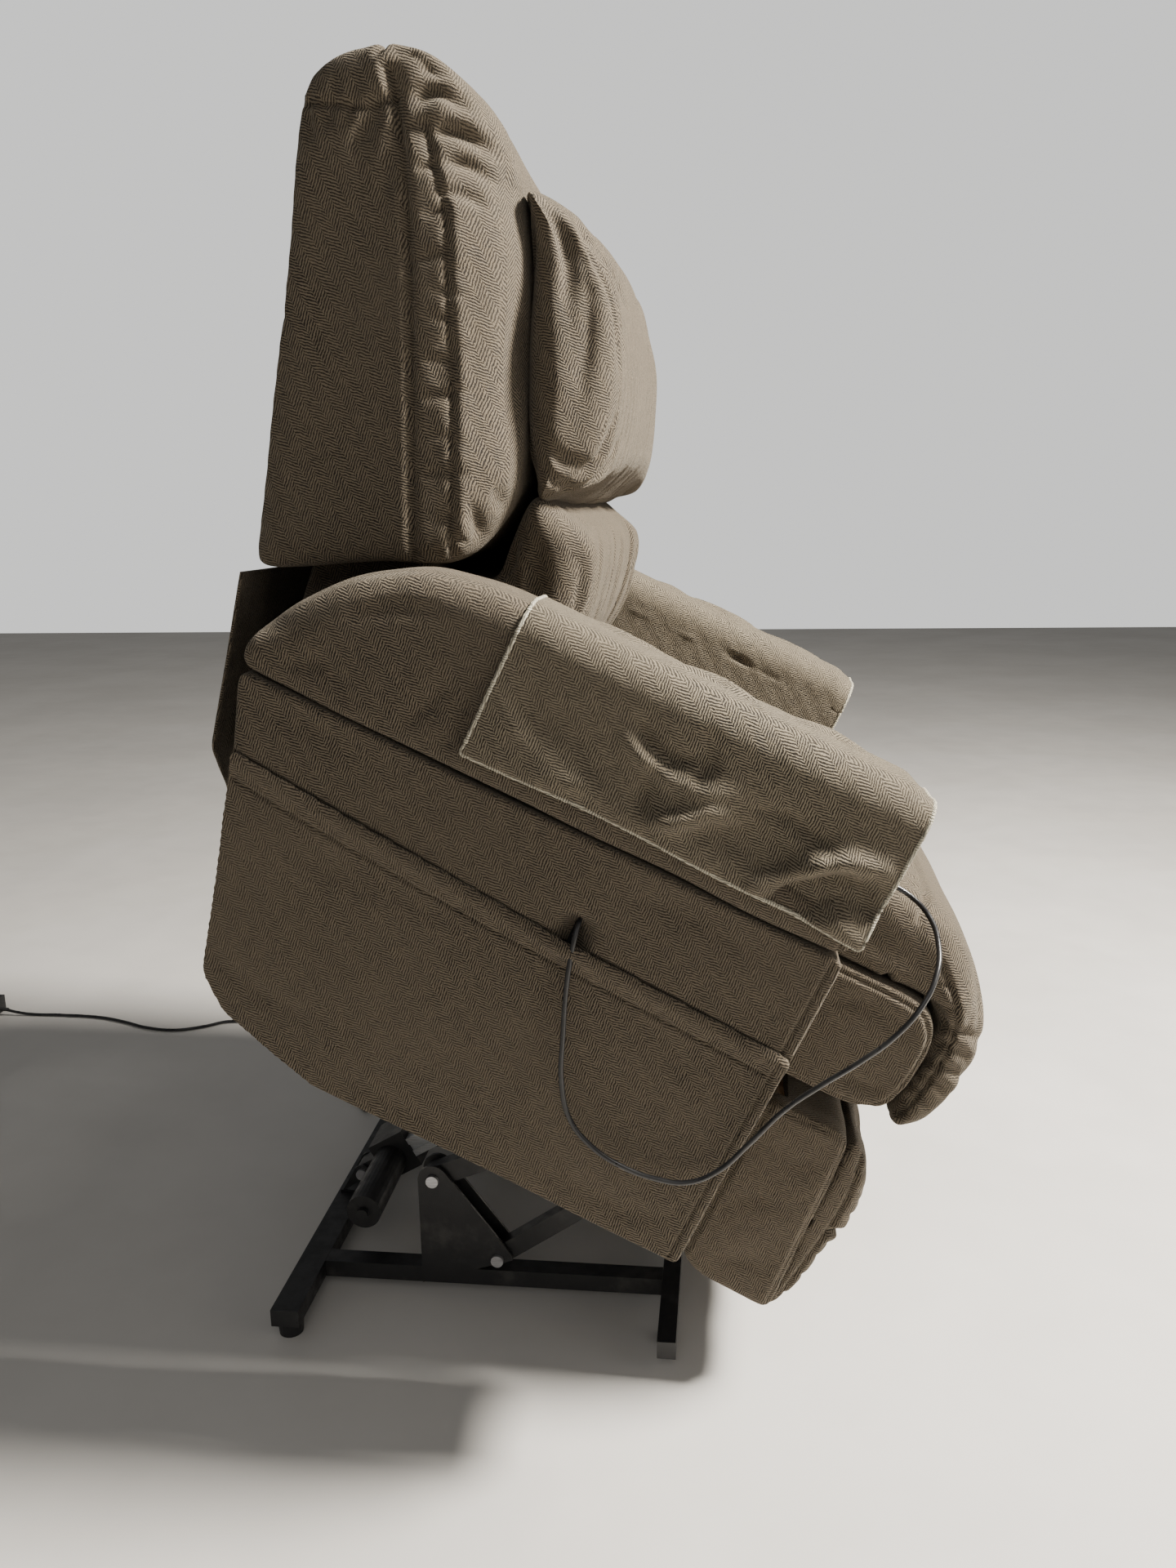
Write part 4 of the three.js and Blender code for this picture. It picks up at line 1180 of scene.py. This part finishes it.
def coil_points():
    """Three turns winding in along the floor, then three winding out on top of them."""
    start, end = math.radians(COIL_ENTRY), math.radians(COIL_EXIT + 360 * COIL_TURNS)
    half = math.radians(360 * 3 + COIL_CHANGE)
    points = []
    for angle in np.arange(start, end, math.radians(15)):
        turned = (angle - start) / (2 * math.pi)
        if angle < half:
            radius = max(COIL_INNER, COIL_OUTER - COIL_STEP * turned)
        else:
            later = (angle - half) / (2 * math.pi)
            whole = int(later)
            moved = float(smoothstep(np.array(later - whole), 0.55, 0.85))
            radius = COIL_INNER + COIL_STEP * (whole + moved)
        z = COIL_FLOOR + (COIL_SECOND - COIL_FLOOR) * float(smoothstep(np.array(angle - half), -1.1, 0.1))
        x, y = COIL_MIDDLE[0] + radius * math.cos(angle), COIL_MIDDLE[1] + radius * math.sin(angle)
        points.append((x, y, z))
    return points


def add_cord(name, points, diameter):
    """A cord as one smooth curve through the points, in row metres."""
    data = bpy.data.curves.new(name, "CURVE")
    data.dimensions, data.bevel_depth, data.bevel_resolution = "3D", diameter / 2, 4
    data.resolution_u, data.use_fill_caps = 6, True
    spline = data.splines.new("BEZIER")
    spline.bezier_points.add(len(points) - 1)
    for knot, place in zip(spline.bezier_points, points):
        knot.co = place
        knot.handle_left_type = knot.handle_right_type = "AUTO"
    obj = linked(name, data)
    obj.data.materials.append(CORD_JACKET)
    return obj


def turned_piece(name, profile, place, way, sides=28):
    """A solid of revolution from (distance along way, radius) pairs, in metres, starting at place."""
    way = Vector(way).normalized()
    across = way.orthogonal().normalized()
    upward = way.cross(across)
    points = []
    for along, radius in profile:
        for k in range(sides):
            a = 2 * math.pi * k / sides
            spoke = across * math.cos(a) + upward * math.sin(a)
            points.append(Vector(place) + way * along + spoke * radius)
    mesh = bpy.data.meshes.new(name)
    mesh.from_pydata(points, [], tube_faces(len(profile), sides))
    mesh.shade_smooth()
    obj = linked(name, mesh)
    obj.data.materials.append(BLACK_PLASTIC)
    return obj


def strain_relief(name, place, way, length, thick, thin, body):
    """A ribbed, tapered sleeve where a cord leaves its housing."""
    profile = [(0.0, thick)]
    ribs = 6
    for k in range(ribs):
        for share, narrow in ((0.1, 0.0), (0.55, 0.0), (0.65, 0.0009), (0.95, 0.0009)):
            t = (k + share) / ribs
            profile.append((t * length, thick + (thin - thick) * t - narrow))
    profile.append((length, thin))
    piece = turned_piece(name, profile, place, way)
    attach(piece, body)
    return piece


def rounded_box(name, low, high, bevel, material, body):
    low, high = Vector(low), Vector(high)
    mesh = bpy.data.meshes.new(name)
    solid = bmesh.new()
    bmesh.ops.create_cube(solid, size=1.0)
    for vertex in solid.verts:
        vertex.co = Vector([(low[k] + high[k]) / 2 + vertex.co[k] * (high[k] - low[k]) for k in range(3)])
    bmesh.ops.bevel(solid, geom=solid.edges, offset=bevel, segments=4, profile=0.6, affect="EDGES")
    solid.to_mesh(mesh)
    solid.free()
    mesh.shade_smooth()
    obj = linked(name, mesh)
    obj.data.materials.append(material)
    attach(obj, body)
    return obj


def add_power_supply():
    """The supply keeps its CAD solid, with its edges rounded over."""
    node = NODES["power_supply"]
    bevel = node.modifiers.new("rounded_edges", "BEVEL")
    bevel.width, bevel.segments, bevel.limit_method = 0.0035, 4, "ANGLE"
    node.material_slots[0].material = SUPPLY_PLASTIC
    return node


def add_plug():
    """The moulded plug: a waisted grip with finger ribs, and two blades."""
    low, high = (Vector(corner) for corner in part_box("mains_plug"))
    grip_end = low.x + 0.040
    grip = rounded_box("plug_grip", low, (grip_end, high.y, high.z), 0.005, BLACK_PLASTIC, "base")
    middle = Vector(((low.x + grip_end) / 2, (low.y + high.y) / 2, (low.z + high.z) / 2))
    for vertex in grip.data.vertices:
        waist = 1 - 0.16 * math.exp(-(((vertex.co.x - middle.x + 0.006) / 0.01) ** 2))
        vertex.co.y = middle.y + (vertex.co.y - middle.y) * waist
    pieces = [grip]
    for k in range(4):
        x = low.x + 0.008 + 0.005 * k
        pieces.append(rounded_box(f"plug_rib_{k + 1}", (x, low.y + 0.003, high.z - 0.0012),
                                  (x + 0.002, high.y - 0.003, high.z + 0.0006), 0.0005, BLACK_PLASTIC, "base"))
    for k, y in enumerate((middle.y - 0.0075, middle.y + 0.006)):
        pieces.append(rounded_box(f"plug_blade_{k + 1}", (grip_end - 0.002, y, middle.z - 0.00325),
                                  (high.x, y + 0.0015, middle.z + 0.00325), 0.0004, BARE_STEEL, "base"))
    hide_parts("mains_plug")
    pieces.append(strain_relief("plug_relief", (low.x + 0.001, middle.y, middle.z), (-1, 0, 0), 0.012, 0.0062,
                                0.0042, "base"))
    return pieces


def add_coil_tie():
    """A hook-and-loop strap round the coil's turns."""
    radius = (COIL_OUTER + COIL_INNER) / 2
    half_wide, bottom, top = (COIL_OUTER - COIL_INNER) / 2 + 4.4, 0.3, COIL_SECOND + 4.4
    ring = cut_corners([(-half_wide, bottom), (half_wide, bottom), (half_wide, top), (-half_wide, top)], 4)
    points, faces = [], []
    count = len(ring)
    for y in (-7.0, 7.0):
        for thick in (0.0, 1.0):
            for across, up in ring:
                shrink = 1 - thick * 0.9 / half_wide
                points.append((COIL_MIDDLE[0] + radius + across * shrink, COIL_MIDDLE[1] + y,
                               (up - 8) * (1 - thick * 0.09) + 8))
    loops = [range(k * count, (k + 1) * count) for k in range(4)]
    for first, second in ((0, 1), (1, 3), (3, 2), (2, 0)):
        a, b = list(loops[first]), list(loops[second])
        faces += [(a[i], a[(i + 1) % count], b[(i + 1) % count], b[i]) for i in range(count)]
    mesh = bpy.data.meshes.new("coil_tie")
    mesh.from_pydata([Vector(p) * MM for p in points], [], faces)
    tie = linked("coil_tie", mesh)
    tie.data.materials.append(SEAM_FABRIC)
    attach(tie, "base")
    return tie


def add_cords():
    route = [Vector(p) for p in to_row(HANDSET_ROUTE)]
    handset = add_cord("handset_flex", route, HANDSET_CORD)
    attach(handset, "chair_frame")
    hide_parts("handset_cord")

    power = add_cord("power_flex", [Vector(p) * MM for p in POWER_ROUTE], POWER_CORD)
    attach(power, "base")
    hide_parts("power_lead")
    supply = add_power_supply()
    reliefs = [strain_relief(*sleeve, "base") for sleeve in (
        ("clip_relief", Vector(POWER_ROUTE[0]) * MM, (-1, 0.04, -0.05), 0.02, 0.0048, 0.0036),
        ("supply_relief_in", (-1.4004, 0.654, 0.014), (1, 0, -0.04), 0.024, 0.005, 0.0037),
        ("supply_relief_out", (-1.5402, 0.654, 0.014), (-1, 0, -0.1), 0.022, 0.0062, 0.0042),
    )]

    points = [*MAINS_ROUTE, *coil_points(), *PLUG_TAIL]
    mains = add_cord("mains_flex", [Vector(p) * MM for p in points], MAINS_CORD)
    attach(mains, "base")
    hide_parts("mains_lead", "mains_coil")
    plug = add_plug()
    add_coil_tie()


FLOOR_HALF, FLOOR_GAP = 9.0, 0.0005


def add_floor():
    mesh = bpy.data.meshes.new("floor")
    sheet = bmesh.new()
    bmesh.ops.create_grid(sheet, x_segments=4, y_segments=4, size=FLOOR_HALF)
    sheet.to_mesh(mesh)
    sheet.free()
    floor = linked("floor", mesh)
    floor.location.z = -FLOOR_GAP
    floor.data.materials.append(floor_paint("pale_floor"))


add_camera()
finish_nodes()
add_cords()
add_floor()
add_backdrop()
add_lights()
add_back()
add_back_flap()
add_sides()
add_covers()
add_seat()
add_legrest()

bpy.context.view_layer.update()
